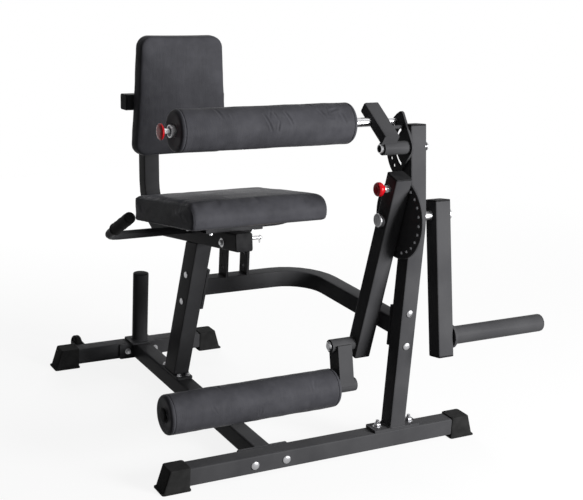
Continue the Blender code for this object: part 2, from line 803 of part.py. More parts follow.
def upright_stations():
    """The main upright's centre line: a lean back and, above the knee, a lean forward."""
    foot = Vector((UPRIGHT_X, 0.0, TUBE_TOP_Z + GAP + BASE_PLATE / 2))
    knee = Vector((UPRIGHT_X, UPRIGHT_KNEE_Y, UPRIGHT_KNEE_Z))
    top = Vector((UPRIGHT_X, UPRIGHT_TOP_Y, UPRIGHT_TOP_Z))
    return bent_path([foot, knee, top], UPRIGHT_BEND, KNEE_STEPS)


def main_upright():
    """The post that carries every pivot, on its bolted base plate."""
    stations = upright_stations()
    tube = sweep("main_upright", stations, square_profile(), square_bore(),
                 cuts=(in_depth(0.0, 1.0), None))
    low = TUBE_TOP_Z + GAP
    plate = straight("plate", (UPRIGHT_X, 0.0, low), (UPRIGHT_X, 0.0, low + BASE_PLATE),
                     rounded_rectangle(UPRIGHT_PLATE, TUBE + 2 * GAP, CORNER))
    bearing = cross_bar("bearing", UPRIGHT_LEFT - BEARING_PROUD, UPRIGHT_RIGHT + BEARING_PROUD,
                        MAIN_AXIS, BEARING_RADIUS)
    weld(tube, plate, bearing)
    past = TUBE / 2
    drill(tube, UPRIGHT_LEFT - past, UPRIGHT_RIGHT + past, MAIN_AXIS,
          AXLE_RADIUS + RUNNING, ROUND)
    drill(tube, UPRIGHT_LEFT - past, UPRIGHT_RIGHT + past, THIGH_AXIS,
          THIGH_PIN_RADIUS + RUNNING, ROUND)
    finish(tube, "frame", POWDER_COAT)
    top, direction = stations[-1]
    end_cap("main_upright_cap", "frame", top, direction, (1.0, 0.0, 0.0))


def sector_outline():
    """A fan around the thigh axis: an outer arc, two round corners and a hub."""
    corner_circle = SECTOR_RADIUS - SECTOR_CORNER_RADIUS
    lean = math.acos((SECTOR_HUB_RADIUS - SECTOR_CORNER_RADIUS) / corner_circle)
    tangent = SECTOR_CORNER_ANGLE + lean
    rim = arc(THIGH_AXIS, SECTOR_RADIUS, -SECTOR_CORNER_ANGLE, SECTOR_CORNER_ANGLE, ARC_STEPS)
    upper = arc(on_plate(corner_circle, SECTOR_CORNER_ANGLE), SECTOR_CORNER_RADIUS,
                SECTOR_CORNER_ANGLE, tangent, BEND_STEPS)
    hub = arc(THIGH_AXIS, SECTOR_HUB_RADIUS, tangent, math.tau - tangent, BEND_STEPS)
    lower = arc(on_plate(corner_circle, -SECTOR_CORNER_ANGLE), SECTOR_CORNER_RADIUS,
                -tangent, -SECTOR_CORNER_ANGLE, BEND_STEPS)
    return rim + upper[1:] + hub + lower[:-1]


def guide_slot(left, right):
    """The arc slot in which the arm's guide pin runs."""
    outer = GUIDE_CIRCLE + GUIDE_SLOT_HALF_WIDTH
    inner = GUIDE_CIRCLE - GUIDE_SLOT_HALF_WIDTH
    rim = arc(THIGH_AXIS, outer, -GUIDE_SLOT_END, GUIDE_SLOT_END, ARC_STEPS)
    top = arc(on_plate(GUIDE_CIRCLE, GUIDE_SLOT_END), GUIDE_SLOT_HALF_WIDTH,
              GUIDE_SLOT_END, GUIDE_SLOT_END + math.pi, BEND_STEPS)
    back = arc(THIGH_AXIS, inner, GUIDE_SLOT_END, -GUIDE_SLOT_END, ARC_STEPS)
    foot = arc(on_plate(GUIDE_CIRCLE, -GUIDE_SLOT_END), GUIDE_SLOT_HALF_WIDTH,
               math.pi - GUIDE_SLOT_END, math.tau - GUIDE_SLOT_END, BEND_STEPS)
    return prism("slot", rim + top[1:-1] + back + foot[1:-1], left, right)


def sector_plate():
    """The perforated fan on the upright that the thigh rod locks into."""
    right = UPRIGHT_LEFT - GAP
    left = right - SECTOR_PLATE
    past = SECTOR_PLATE
    plate = prism("sector_plate", sector_outline(), left, right)
    for hole in range(SECTOR_HOLES):
        angle = THIGH_REST - THIGH_TRAVEL * hole / (SECTOR_HOLES - 1)
        drill(plate, left - past, right + past, on_plate(SECTOR_HOLE_CIRCLE, angle),
              SECTOR_HOLE_RADIUS)
    drill(plate, left - past, right + past, THIGH_AXIS, THIGH_PIN_RADIUS + RUNNING, ROUND)
    cut(plate, guide_slot(left - past, right + past))
    finish(plate, "frame", POWDER_COAT)


def thigh_pivot_pin():
    """The bolt the thigh arm turns on, headed on both sides."""
    left = THIGH_TUBE_LEFT - RUNNING
    right = UPRIGHT_RIGHT + GAP
    dome = THIGH_PIN_HEAD_RADIUS * HEAD_DOME_SHARE
    profile = [(left - THIGH_PIN_HEAD, dome), (left - THIGH_PIN_HEAD / 2, THIGH_PIN_HEAD_RADIUS),
               (left, THIGH_PIN_HEAD_RADIUS), (left, THIGH_PIN_RADIUS), (right, THIGH_PIN_RADIUS),
               (right, THIGH_PIN_HEAD_RADIUS), (right + THIGH_PIN_HEAD / 2, THIGH_PIN_HEAD_RADIUS),
               (right + THIGH_PIN_HEAD, dome)]
    finish(turned("thigh_pivot_pin", THIGH_AXIS, profile), "frame", ZINC)


# Curved tube, lock plates, lug and hitch pin

def upright_rear_at(z):
    """Where the main upright's rear face stands at a height below its knee."""
    foot_z = TUBE_TOP_Z + GAP + BASE_PLATE / 2
    lean = math.atan2(UPRIGHT_KNEE_Y, UPRIGHT_KNEE_Z - foot_z)
    return (z - foot_z) * math.tan(lean) + TUBE / 2 / math.cos(lean)


def seat_upright_middle(z):
    """Where the seat upright's centre line stands at a height."""
    foot_z = TUBE_TOP_Z + GAP + SEAT_BASE_PLATE
    return SEAT_UPRIGHT_FOOT_Y - (z - foot_z) * math.tan(SEAT_UPRIGHT_LEAN)


def lock_plate(x):
    """One perforated plate that stands on the curved tube, with a round head."""
    half = TUBE / 2 - 2 * GAP
    head = in_depth(BRACE_Y, LOCK_PLATE_TOP - half)
    foot_z = BRACE_TOP_Z - WALL / 2
    outline = [in_depth(BRACE_Y - half, foot_z), in_depth(BRACE_Y + half, foot_z)]
    outline += arc(head, half, 0.0, math.pi, BEND_STEPS)
    left = x - LOCK_PLATE / 2
    right = x + LOCK_PLATE / 2
    plate = prism("lock_plate", outline, left, right)
    for hole in range(LOCK_HOLES):
        place = LOCK_PLACE - in_depth(0.0, LOCK_HOLE_PITCH * hole)
        drill(plate, left - LOCK_PLATE, right + LOCK_PLATE, place,
              LOCK_PIN_RADIUS + PIN_PLAY)
    return plate


def curved_tube():
    """The bent tube that ties the uprights, its flanges and the two lock plates."""
    rear_flange = upright_rear_at(BRACE_Z) + GAP + BRACE_FLANGE
    left_face = TUBE / 2 + GAP
    corners = [Vector((left_face + BRACE_FLANGE / 2, BRACE_Y, BRACE_Z)),
               Vector((UPRIGHT_X, BRACE_Y, BRACE_Z)),
               Vector((UPRIGHT_X, rear_flange - BRACE_FLANGE / 2, BRACE_Z))]
    tube = sweep("curved_tube", bent_path(corners, BRACE_BEND, BEND_STEPS), square_profile(),
                 square_bore(), across=(0.0, 0.0, 1.0))
    low = BRACE_Z - BRACE_FLANGE_HEIGHT / 2
    high = BRACE_Z + BRACE_FLANGE_HEIGHT / 2
    faces = [(upright_rear_at(z) + GAP, z) for z in (low, high)]
    outline = [in_depth(faces[0][0], low), in_depth(faces[0][0] + BRACE_FLANGE, low),
               in_depth(faces[1][0] + BRACE_FLANGE, high), in_depth(faces[1][0], high)]
    weld(tube, prism("flange", outline, UPRIGHT_LEFT - GAP, UPRIGHT_RIGHT + GAP))
    low = BRACE_Z - SEAT_FLANGE_HEIGHT / 2
    high = BRACE_Z + SEAT_FLANGE_HEIGHT / 2
    half = SEAT_UPRIGHT_DEPTH / 2
    outline = [in_depth(seat_upright_middle(low) - half, low),
               in_depth(seat_upright_middle(low) + half, low),
               in_depth(seat_upright_middle(high) + half, high),
               in_depth(seat_upright_middle(high) - half, high)]
    weld(tube, prism("flange", outline, left_face, left_face + BRACE_FLANGE))
    cut(tube, straight("window", (0.0, BRACE_Y, BRACE_Z),
                       (left_face + 2 * BRACE_FLANGE, BRACE_Y, BRACE_Z),
                       square_bore(wall=2 * WALL), across=(0.0, 0.0, 1.0)))
    weld(tube, lock_plate(LOCK_PLATE_LEFT_X), lock_plate(LOCK_PLATE_RIGHT_X))
    finish(tube, "frame", POWDER_COAT)


def hitch_pin():
    """The loose pin through the lock plates and the lug."""
    pin = turned("hitch_pin", LOCK_PLACE, [
        (LOCK_PIN_LEFT, LOCK_PIN_HEAD_RADIUS * HEAD_DOME_SHARE),
        (LOCK_PIN_LEFT + CAP_BEVEL, LOCK_PIN_HEAD_RADIUS),
        (LOCK_PIN_LEFT + LOCK_PIN_HEAD, LOCK_PIN_HEAD_RADIUS),
        (LOCK_PIN_LEFT + LOCK_PIN_HEAD, LOCK_PIN_RADIUS),
        (LOCK_PIN_RIGHT - LOCK_PIN_RADIUS / 2, LOCK_PIN_RADIUS),
        (LOCK_PIN_RIGHT, LOCK_PIN_RADIUS / 2)], count=SMALL_ROUND)
    hole = at(LOCK_PIN_RIGHT - COTTER_FROM_TIP, LOCK_PLACE)
    reach = Vector((0.0, 0.0, 2 * LOCK_PIN_RADIUS))
    cut(pin, straight("drill", hole - reach, hole + reach, circle(COTTER_HOLE_RADIUS, SMALLEST_ROUND)))
    finish(pin, "hitch_pin", CHROME)


# Seat frame

def seat_upright():
    """The raked rectangular tube under the seat, on its base plate."""
    plate_low = TUBE_TOP_Z + GAP
    foot_z = plate_low + SEAT_BASE_PLATE
    foot = in_depth(seat_upright_middle(foot_z - WALL), foot_z - WALL)
    up = in_depth(-math.sin(SEAT_UPRIGHT_LEAN), math.cos(SEAT_UPRIGHT_LEAN))
    under = on_seat(0.0, -TUBE / 2 - GAP)
    length = (under - foot).dot(SEAT_NORMAL) / up.dot(SEAT_NORMAL)
    tube = straight("seat_upright", foot, foot + up * length,
                    square_profile(TUBE, SEAT_UPRIGHT_DEPTH),
                    square_bore(TUBE, SEAT_UPRIGHT_DEPTH),
                    cuts=(in_depth(0.0, 1.0), SEAT_NORMAL))
    plate = straight("plate", (0.0, SEAT_UPRIGHT_FOOT_Y, plate_low),
                     (0.0, SEAT_UPRIGHT_FOOT_Y, foot_z),
                     rounded_rectangle(TUBE + 2 * GAP, SEAT_BASE_PLATE_DEPTH, CORNER))
    finish(weld(tube, plate), "frame", POWDER_COAT)


def seat_bracket(run):
    """A cross channel under the seat board, open at both ends."""
    middle = on_seat(run, TUBE / 2 + BRACKET_HEIGHT / 2)
    return straight("bracket", at(-BRACKET_WIDTH / 2, middle), at(BRACKET_WIDTH / 2, middle),
                    rounded_rectangle(BRACKET_DEPTH, BRACKET_HEIGHT + 2 * GAP, CORNER),
                    rounded_rectangle(BRACKET_DEPTH - 2 * WALL, BRACKET_HEIGHT - 2 * WALL,
                                      CORNER - WALL),
                    across=SEAT_ALONG)


def seat_tube():
    """The seat's tube, bent up into the post, with the brackets and the back sleeve."""
    corner = on_seat(SEAT_TUBE_RUN, 0.0)
    post_top_z = SLEEVE_Z - TUBE / 2 + WALL / 2
    post_top = corner + POST_UP * ((post_top_z - corner.z) / POST_UP.z)
    stations = bent_path([SEAT_FRONT, corner, post_top], POST_BEND, BEND_STEPS)
    tube = sweep("seat_tube", stations, square_profile(), square_bore(),
                 cuts=(None, in_depth(0.0, 1.0)))
    sleeve = straight("sleeve", in_depth(SLEEVE_FRONT_Y, SLEEVE_Z),
                      in_depth(SLEEVE_REAR_Y, SLEEVE_Z), square_profile(), square_bore())
    weld(tube, sleeve, seat_bracket(BRACKET_FRONT_RUN), seat_bracket(BRACKET_REAR_RUN))
    bar = on_seat(HANDLE_RUN, HANDLE_LIFT)
    drill(tube, -TUBE, TUBE, bar, HANDLE_RADIUS + GAP, ROUND)
    pin_place = in_depth(BACK_PIN_Y, SLEEVE_Z)
    cut(tube, straight("drill", pin_place, pin_place + in_depth(0.0, TUBE),
                       circle(PIN_HOLE_RADIUS, SMALL_ROUND)))
    finish(tube, "frame", POWDER_COAT)
    end_cap("seat_tube_cap", "frame", SEAT_FRONT, -SEAT_ALONG, (1.0, 0.0, 0.0))


def handle_path():
    """The handle bar's bent line, from the left grip's end to the right one's."""
    middle = on_seat(HANDLE_RUN, HANDLE_LIFT)
    forward = in_depth(-math.cos(HANDLE_RISE), math.sin(HANDLE_RISE)) * HANDLE_REACH
    left = at(-HANDLE_HALF, middle)
    right = at(HANDLE_HALF, middle)
    return [left + forward, left, right, right + forward]


def handle_bar():
    """The bent round bar through the seat tube that carries both grips."""
    corners = handle_path()
    square = (corners[0] - corners[1]).cross(corners[2] - corners[1]).normalized()
    bar = sweep("handle_bar", bent_path(corners, HANDLE_BEND, HANDLE_BEND_STEPS),
                circle(HANDLE_RADIUS, SMALL_ROUND), circle(HANDLE_RADIUS - HANDLE_WALL, SMALL_ROUND),
                across=square)
    finish(bar, "frame", POWDER_COAT)
    tips = (("grip_left", corners[0], corners[1]), ("grip_right", corners[3], corners[2]))
    for name, tip, bend in tips:
        hand_grip(name, tip, (tip - bend).normalized())


def hand_grip(name, tip, outward):
    """A moulded grip closed at its end, with a bead at its mouth and soft swells."""
    bore = HANDLE_RADIUS + RUNNING
    start = -GRIP_LENGTH + GRIP_BEAD_LENGTH
    pitch = (GRIP_LENGTH - 2 * GRIP_BEAD_LENGTH) / GRIP_RINGS
    profile = [(-GRIP_LENGTH, GRIP_RADIUS + GRIP_BEAD), (start - GRIP_SWELL, GRIP_RADIUS + GRIP_BEAD)]
    profile += [(start + pitch * step, GRIP_RADIUS + (GRIP_SWELL if step % 2 else 0.0))
                for step in range(GRIP_RINGS + 1)]
    profile += [(0.0, GRIP_RADIUS), (GRIP_END, GRIP_RADIUS * GRIP_END_SHARE)]
    grip = turned(name, tip, profile, outward)
    pocket = turned("pocket", tip, [(-GRIP_LENGTH - GRIP_BEAD_LENGTH, bore), (GAP, bore)], outward)
    finish(cut(grip, pocket), "frame", RUBBER)


def lock_lug():
    """The short tube under the handle bar that the hitch pin passes through."""
    bar = on_seat(HANDLE_RUN, HANDLE_LIFT)
    x = LUG_LEFT + LUG_WIDTH / 2
    y = (LUG_FRONT_Y + LUG_REAR_Y) / 2
    depth = LUG_REAR_Y - LUG_FRONT_Y
    lug = straight("lock_lug", (x, y, LUG_LOW_Z), (x, y, bar.z),
                   square_profile(LUG_WIDTH, depth), square_bore(LUG_WIDTH, depth))
    drill(lug, LUG_LEFT - LUG_WIDTH, LUG_LEFT + 2 * LUG_WIDTH, bar, HANDLE_RADIUS + GAP,
          ROUND)
    drill(lug, LUG_LEFT - LUG_WIDTH, LUG_LEFT + 2 * LUG_WIDTH, LOCK_PLACE,
          LOCK_PIN_RADIUS + PIN_PLAY)
    finish(lug, "frame", POWDER_COAT)


# Cushions

def pad_outline(width, length, corner, draw_in):
    """A pad's plan: round corners, and sides that draw in between them."""
    points = []
    for side, end, start in ((1, 1, 0), (-1, 1, 90), (-1, -1, 180), (1, -1, 270)):
        for step in range(PAD_CORNER_STEPS + 1):
            angle = math.radians(start + 90 * step / PAD_CORNER_STEPS)
            points.append((side * (width / 2 - corner) + corner * math.cos(angle),
                           end * (length / 2 - corner) + corner * math.sin(angle)))
        across = start in (0, 180)
        run = (width if across else length) / 2 - corner
        for step in range(1, PAD_SIDE_STEPS):
            t = 1 - 2 * step / PAD_SIDE_STEPS
            pull = draw_in * (1 - t * t)
            if across:
                points.append((side * run * t, end * (length / 2 - pull)))
            else:
                points.append((side * (width / 2 - pull), end * run * t))
    return points


def pad_solid(name, outline, under, top, crown, edge_at, foot_at, place):
    """A crowned pad: bellied sides, round upper edges and a crown in concentric rings."""
    height = top - under

    def inset(point, amount):
        a, b = point
        reach = math.hypot(a, b)
        return (a - a / reach * amount, b - b / reach * amount)

    rings = [[(*inset(p, foot_at(p)), under) for p in outline],
             [(*p, under + foot_at(p)) for p in outline],
             [(*inset(p, -PAD_BELLY), under + height * PAD_BELLY_SHARE) for p in outline]]
    for step in range(PAD_CORNER_STEPS + 1):
        angle = math.radians(90 * step / PAD_CORNER_STEPS)
        ring = []
        for p in outline:
            edge = edge_at(p)
            shrink = edge * (1 - math.cos(angle))
            ring.append((*inset(p, shrink), top - edge * (1 - math.sin(angle))))
        rings.append(ring)
    rim = rings[-1]
    for scale in PAD_CROWN_RINGS:
        rings.append([(a * scale, b * scale, c + crown * (1 - scale ** 2)) for a, b, c in rim])
    builder = bmesh.new()
    loops = [[builder.verts.new(place(a, b, c)) for a, b, c in ring] for ring in rings]
    for lower, upper in zip(loops, loops[1:]):
        join_rings(builder, lower, upper)
    builder.faces.new(loops[0])
    builder.faces.new(loops[-1])
    return new_object(name, builder)


def seat_place(a, b, c):
    """From the seat pad's own numbers to a place: a across, b to the rear, c up."""
    middle = (SEAT_FRONT_RUN + SEAT_REAR_RUN) / 2
    return at(a, on_seat(middle + b, c))


def seat_front_share(point):
    """How far a place of the seat pad's outline belongs to its front, from 0 to 1."""
    half = (SEAT_REAR_RUN - SEAT_FRONT_RUN) / 2
    share = max(0.0, -point[1] / half - SEAT_FRONT_SHARE) / (1 - SEAT_FRONT_SHARE)
    return min(1.0, share)


def seat_edge(point):
    """The radius of the pad's upper edge: large along the front, small elsewhere."""
    return SEAT_EDGE + (SEAT_FRONT_EDGE - SEAT_EDGE) * seat_front_share(point)


def seat_foot(point):
    """How far the pad draws in at its foot: more along the front."""
    return PAD_FOOT + (SEAT_FRONT_FOOT - PAD_FOOT) * seat_front_share(point)


def seat_pad():
    """The seat's cushion, wrapped round the edges of its board."""
    length = SEAT_REAR_RUN - SEAT_FRONT_RUN
    outline = pad_outline(SEAT_WIDTH, length, SEAT_CORNER, SEAT_DRAW_IN)
    cushion = pad_solid("seat_cushion", outline, SEAT_UNDER, SEAT_TOP, SEAT_CROWN,
                        seat_edge, seat_foot, seat_place)
    board_plan = rounded_rectangle(SEAT_WIDTH - 2 * BOARD_INSET, length - 2 * BOARD_INSET,
                                   SEAT_CORNER - BOARD_INSET)
    pocket_plan = rounded_rectangle(SEAT_WIDTH - 2 * BOARD_INSET + 2 * GAP,
                                    length - 2 * BOARD_INSET + 2 * GAP,
                                    SEAT_CORNER - BOARD_INSET + GAP)
    board_low = TUBE / 2 + BRACKET_HEIGHT + 2 * GAP
    board_top = SEAT_UNDER + BOARD_SUNK
    pocket = stacked("pocket", [(board_low - BOARD_SUNK, pocket_plan),
                                (board_top + GAP, pocket_plan)], seat_place)
    finish(cut(cushion, pocket), "frame", VINYL)
    board = stacked("seat_board", [(board_low, board_plan), (board_top, board_plan)], seat_place)
    finish(board, "frame", PLYWOOD)


def back_place(a, b, c):
    """From the back pad's own numbers to a place: a across, b up, c forward of the T-bar.

    The pad widens from its top to its foot, so a is stretched with b.
    """
    middle = (BACK_LOW + BACK_HIGH) / 2
    taper = (BACK_FOOT_WIDTH - BACK_TOP_WIDTH) / BACK_WIDTH / (BACK_HIGH - BACK_LOW)
    return at(a * (1 - taper * b), T_BAR_PLACE + BACK_UP * (middle + b) + BACK_FORWARD * c)


def back_pad():
    """The backrest's cushion and the board that closes its rear."""
    length = BACK_HIGH - BACK_LOW
    board_rear = T_BAR / 2 + GAP
    board_front = board_rear + BACK_BOARD
    under = board_front - BOARD_SUNK
    outline = pad_outline(BACK_WIDTH, length, BACK_CORNER, BACK_DRAW_IN)
    cushion = pad_solid("back_cushion", outline, under, under + BACK_THICKNESS, BACK_CROWN,
                        lambda point: BACK_EDGE, lambda point: PAD_FOOT, back_place)
    plan = rounded_rectangle(BACK_WIDTH - 2 * BOARD_INSET, length - 2 * BOARD_INSET,
                             BACK_CORNER - BOARD_INSET)
    pocket_plan = rounded_rectangle(BACK_WIDTH - 2 * BOARD_INSET + 2 * GAP,
                                    length - 2 * BOARD_INSET + 2 * GAP,
                                    BACK_CORNER - BOARD_INSET + GAP)
    pocket = stacked("pocket", [(under - BOARD_SUNK, pocket_plan),
                                (board_front + GAP, pocket_plan)], back_place)
    finish(cut(cushion, pocket), "backrest", VINYL)
    board = stacked("back_board", [(board_rear, plan), (board_front, plan)], back_place)
    finish(board, "backrest", PLYWOOD)


# Backrest carriage and its pull pin

def back_carriage():
    """The T-bar behind the pad and the tube that slides in the sleeve."""
    bar = straight("back_carriage", at(-T_BAR_HALF, T_BAR_PLACE), at(T_BAR_HALF, T_BAR_PLACE),
                   square_profile(T_BAR), square_bore(T_BAR), across=BACK_UP)
    slider = straight("slider", in_depth(T_BAR_Y + T_BAR / 2 - WALL / 2, SLEEVE_Z),
                      in_depth(CARRIAGE_REAR_Y, SLEEVE_Z), square_profile(CARRIAGE),
                      square_bore(CARRIAGE, wall=CARRIAGE_WALL))
    weld(bar, slider)
    for hole in range(BACK_HOLES):
        y = BACK_PIN_Y + BACK_HOLE_PITCH * (hole - (BACK_HOLES - 1) / 2)
        cut(bar, straight("drill", (0.0, y, SLEEVE_Z), (0.0, y, SLEEVE_Z + CARRIAGE),
                          circle(PIN_HOLE_RADIUS, SMALL_ROUND)))
    finish(bar, "backrest", POWDER_COAT)
    for name, side in (("back_bar_cap_left", -1), ("back_bar_cap_right", 1)):
        end_cap(name, "backrest", at(side * T_BAR_HALF, T_BAR_PLACE), (side, 0.0, 0.0),
                BACK_UP, size=T_BAR)


def barrel(name, body, place, outward):
    """The threaded barrel that guides a pull pin, a hexagon with a round collar."""
    across = outward.orthogonal().normalized()
    shoulder = place + outward * (BARREL_LENGTH - BARREL_COLLAR)
    hexagon = straight(name, place, shoulder, circle(BARREL_RADIUS, 6), across=across)
    neck = straight("neck", shoulder - outward * WALL, place + outward * BARREL_LENGTH,
                    circle(BARREL_RADIUS * BARREL_NECK_SHARE, SMALL_ROUND), across=across)
    weld(hexagon, neck)
    bore = straight("bore", place - outward * WALL, place + outward * (BARREL_LENGTH + WALL),
                    circle(PIN_HOLE_RADIUS, SMALL_ROUND), across=across)
    finish(cut(hexagon, bore), body, ZINC)


def back_pull_pin():
    """The pin that holds the back carriage, its barrel on the sleeve and its knob."""
    upward = Vector((0.0, 0.0, 1.0))
    top = in_depth(BACK_PIN_Y, SLEEVE_Z + TUBE / 2 + GAP)
    barrel("back_pin_barrel", "frame", top, upward)
    tip = in_depth(BACK_PIN_Y, SLEEVE_Z + CARRIAGE / 2 - 2 * CARRIAGE_WALL)
    knob_base = top + upward * (BARREL_LENGTH + RUNNING)
    pin = straight("back_pin", tip, knob_base - upward * GAP, circle(PIN_RADIUS, SMALL_ROUND))
    finish(pin, "back_pull_pin", CHROME)
    pull_knob("back_pin_knob", "back_pull_pin", knob_base, upward, KNOB_RADIUS, KNOB_LENGTH)


# Swing: axle, disc, weight arm and peg

def axle():
    """The turning axle with its flange on the left and its washer and nut on the right."""
    right = WEIGHT_ARM_RIGHT + GAP
    shaft = turned("axle", MAIN_AXIS, [
        (AXLE_LEFT - AXLE_CAP, AXLE_CAP_RADIUS - CAP_BEVEL),
        (AXLE_LEFT - AXLE_CAP + CAP_BEVEL, AXLE_CAP_RADIUS),
        (AXLE_LEFT, AXLE_CAP_RADIUS), (AXLE_LEFT, AXLE_RADIUS),
        (right + AXLE_NUT / 2, AXLE_RADIUS)])
    finish(shaft, "weight_swing", ZINC)
    washer = right + AXLE_WASHER
    end = right + AXLE_NUT
    flats = AXLE_NUT_RADIUS - CAP_BEVEL
    nut = turned("axle_nut", MAIN_AXIS, [
        (right, AXLE_RADIUS + GAP), (right, AXLE_NUT_RADIUS), (washer, AXLE_NUT_RADIUS),
        (washer, flats), (end - CAP_BEVEL, flats), (end, AXLE_RADIUS + GAP)], hollow=True)
    finish(nut, "weight_swing", ZINC)


def selector_disc():
    """The disc with its circle of holes, on a hub against the upright."""
    hub_right = UPRIGHT_LEFT - BEARING_PROUD - RUNNING
    disc = turned("selector_disc", MAIN_AXIS, [
        (DISC_LEFT, DISC_RADIUS - CAP_BEVEL), (DISC_LEFT + CAP_BEVEL, DISC_RADIUS),
        (DISC_RIGHT - CAP_BEVEL, DISC_RADIUS), (DISC_RIGHT, DISC_RADIUS - CAP_BEVEL),
        (DISC_RIGHT, DISC_HUB_RADIUS), (hub_right, DISC_HUB_RADIUS)], count=DISC_ROUND)
    past = DISC_THICKNESS
    up_lever = math.atan2(-LEVER_DOWNWARD.z, -LEVER_DOWNWARD.y)
    for hole in range(DISC_HOLES):
        angle = up_lever + math.tau * hole / DISC_HOLES
        place = MAIN_AXIS + in_depth(math.cos(angle), math.sin(angle)) * DISC_HOLE_CIRCLE
        drill(disc, DISC_LEFT - past, DISC_RIGHT + past, place, PIN_HOLE_RADIUS,
              SMALLEST_ROUND)
    drill(disc, DISC_LEFT - past, hub_right + past, MAIN_AXIS,
          AXLE_RADIUS + GAP, ROUND)
    finish(disc, "weight_swing", POWDER_COAT)


def hanging_arm(name, middle_x, downward, up, down):
    """A square tube hung on the main axis."""
    return straight(name, at(middle_x, MAIN_AXIS - downward * up),
                    at(middle_x, MAIN_AXIS + downward * down), square_profile(), square_bore())


def arm_caps(prefix, body, middle_x, downward, up, down):
    """The caps at the two ends of a hanging arm."""
    end_cap(prefix + "_cap_top", body, at(middle_x, MAIN_AXIS - downward * up), -downward,
            (1.0, 0.0, 0.0))
    end_cap(prefix + "_cap_bottom", body, at(middle_x, MAIN_AXIS + downward * down), downward,
            (1.0, 0.0, 0.0))


def weight_arm():
    """The arm that carries the weight peg, keyed to the axle by an inner sleeve."""
    arm = hanging_arm("weight_arm", WEIGHT_ARM_MID, WEIGHT_DOWNWARD, WEIGHT_ARM_UP,
                      WEIGHT_ARM_DOWN)
    weld(arm, cross_bar("sleeve", WEIGHT_ARM_LEFT + WALL / 2, WEIGHT_ARM_RIGHT - WALL / 2,
                        MAIN_AXIS, BEARING_RADIUS))
    drill(arm, WEIGHT_ARM_LEFT - TUBE, WEIGHT_ARM_RIGHT + TUBE, MAIN_AXIS,
          AXLE_RADIUS + GAP, ROUND)
    finish(arm, "weight_swing", POWDER_COAT)
    arm_caps("weight_arm", "weight_swing", WEIGHT_ARM_MID, WEIGHT_DOWNWARD, WEIGHT_ARM_UP,
             WEIGHT_ARM_DOWN)


def weight_peg():
    """The pipe that takes the weight plates, with its collar and plug."""
    left = WEIGHT_ARM_RIGHT + GAP
    right = left + WEIGHT_PEG_LENGTH
    bore = PEG_RADIUS - PEG_WALL
    peg = turned("weight_peg", WEIGHT_PEG_PLACE, [
        (left, bore), (left, COLLAR_RADIUS), (left + COLLAR - CAP_BEVEL, COLLAR_RADIUS),
        (left + COLLAR, COLLAR_RADIUS - CAP_BEVEL), (left + COLLAR, PEG_RADIUS),
        (right, PEG_RADIUS), (right, bore)], hollow=True)
    finish(peg, "weight_swing", POWDER_COAT)
    pipe_plug("weight_peg_plug", "weight_swing", at(right, WEIGHT_PEG_PLACE), (1.0, 0.0, 0.0),
              PEG_RADIUS, PEG_WALL)


# Lever, its pull pin, the lower link and roller

def lever_arm():
    """The roller lever: a hub on the axle, a pin hole over the disc, a pivot hole below."""
    arm = hanging_arm("lever_arm", LEVER_MID, LEVER_DOWNWARD, LEVER_UP, LEVER_DOWN)
    weld(arm, cross_bar("hub", LEVER_LEFT - LEVER_HUB_LEFT, DISC_LEFT - RUNNING, MAIN_AXIS,
                        LEVER_HUB_RADIUS))
    left = LEVER_LEFT - TUBE
    right = LEVER_RIGHT + TUBE
    drill(arm, left, right, MAIN_AXIS, AXLE_RADIUS + RUNNING, ROUND)
    drill(arm, left, right, PIN_PLACE, PIN_HOLE_RADIUS)
    drill(arm, left, right, LINK_AXIS, LINK_PIN_RADIUS + RUNNING, ROUND)
    finish(arm, "lever", POWDER_COAT)
    arm_caps("lever", "lever", LEVER_MID, LEVER_DOWNWARD, LEVER_UP, LEVER_DOWN)


def lever_pull_pin():
    """The spring pin that locks the lever to the disc, its barrel and knob."""
    outward = Vector((-1.0, 0.0, 0.0))
    face = at(LEVER_LEFT - GAP, PIN_PLACE)
    barrel("lever_pin_barrel", "lever", face, outward)
    knob_base = face + outward * (BARREL_LENGTH + RUNNING)
    tip = DISC_RIGHT - CAP_BEVEL
    pin = cross_bar("lever_pin", knob_base.x + GAP, tip, PIN_PLACE, PIN_RADIUS, count=SMALL_ROUND)
    finish(pin, "lever_pull_pin", CHROME)
    pull_knob("lever_pin_knob", "lever_pull_pin", knob_base, outward, KNOB_RADIUS, KNOB_LENGTH)


def link_pivot_pin():
    """The pin of the lower link, headed at the link and nutted at the lever."""
    left = LINK_PIVOT_TUBE_LEFT - RUNNING
    right = LEVER_RIGHT + GAP
    dome = LINK_PIN_HEAD_RADIUS * HEAD_DOME_SHARE
    profile = [(left - LINK_PIN_HEAD, dome), (left - LINK_PIN_HEAD / 2, LINK_PIN_HEAD_RADIUS),
               (left, LINK_PIN_HEAD_RADIUS), (left, LINK_PIN_RADIUS), (right, LINK_PIN_RADIUS),
               (right, LINK_PIN_HEAD_RADIUS), (right + LINK_PIN_HEAD, LINK_PIN_HEAD_RADIUS),
               (right + LINK_PIN_HEAD + CAP_BEVEL, dome)]
    finish(turned("link_pivot_pin", LINK_AXIS, profile), "lever", ZINC)


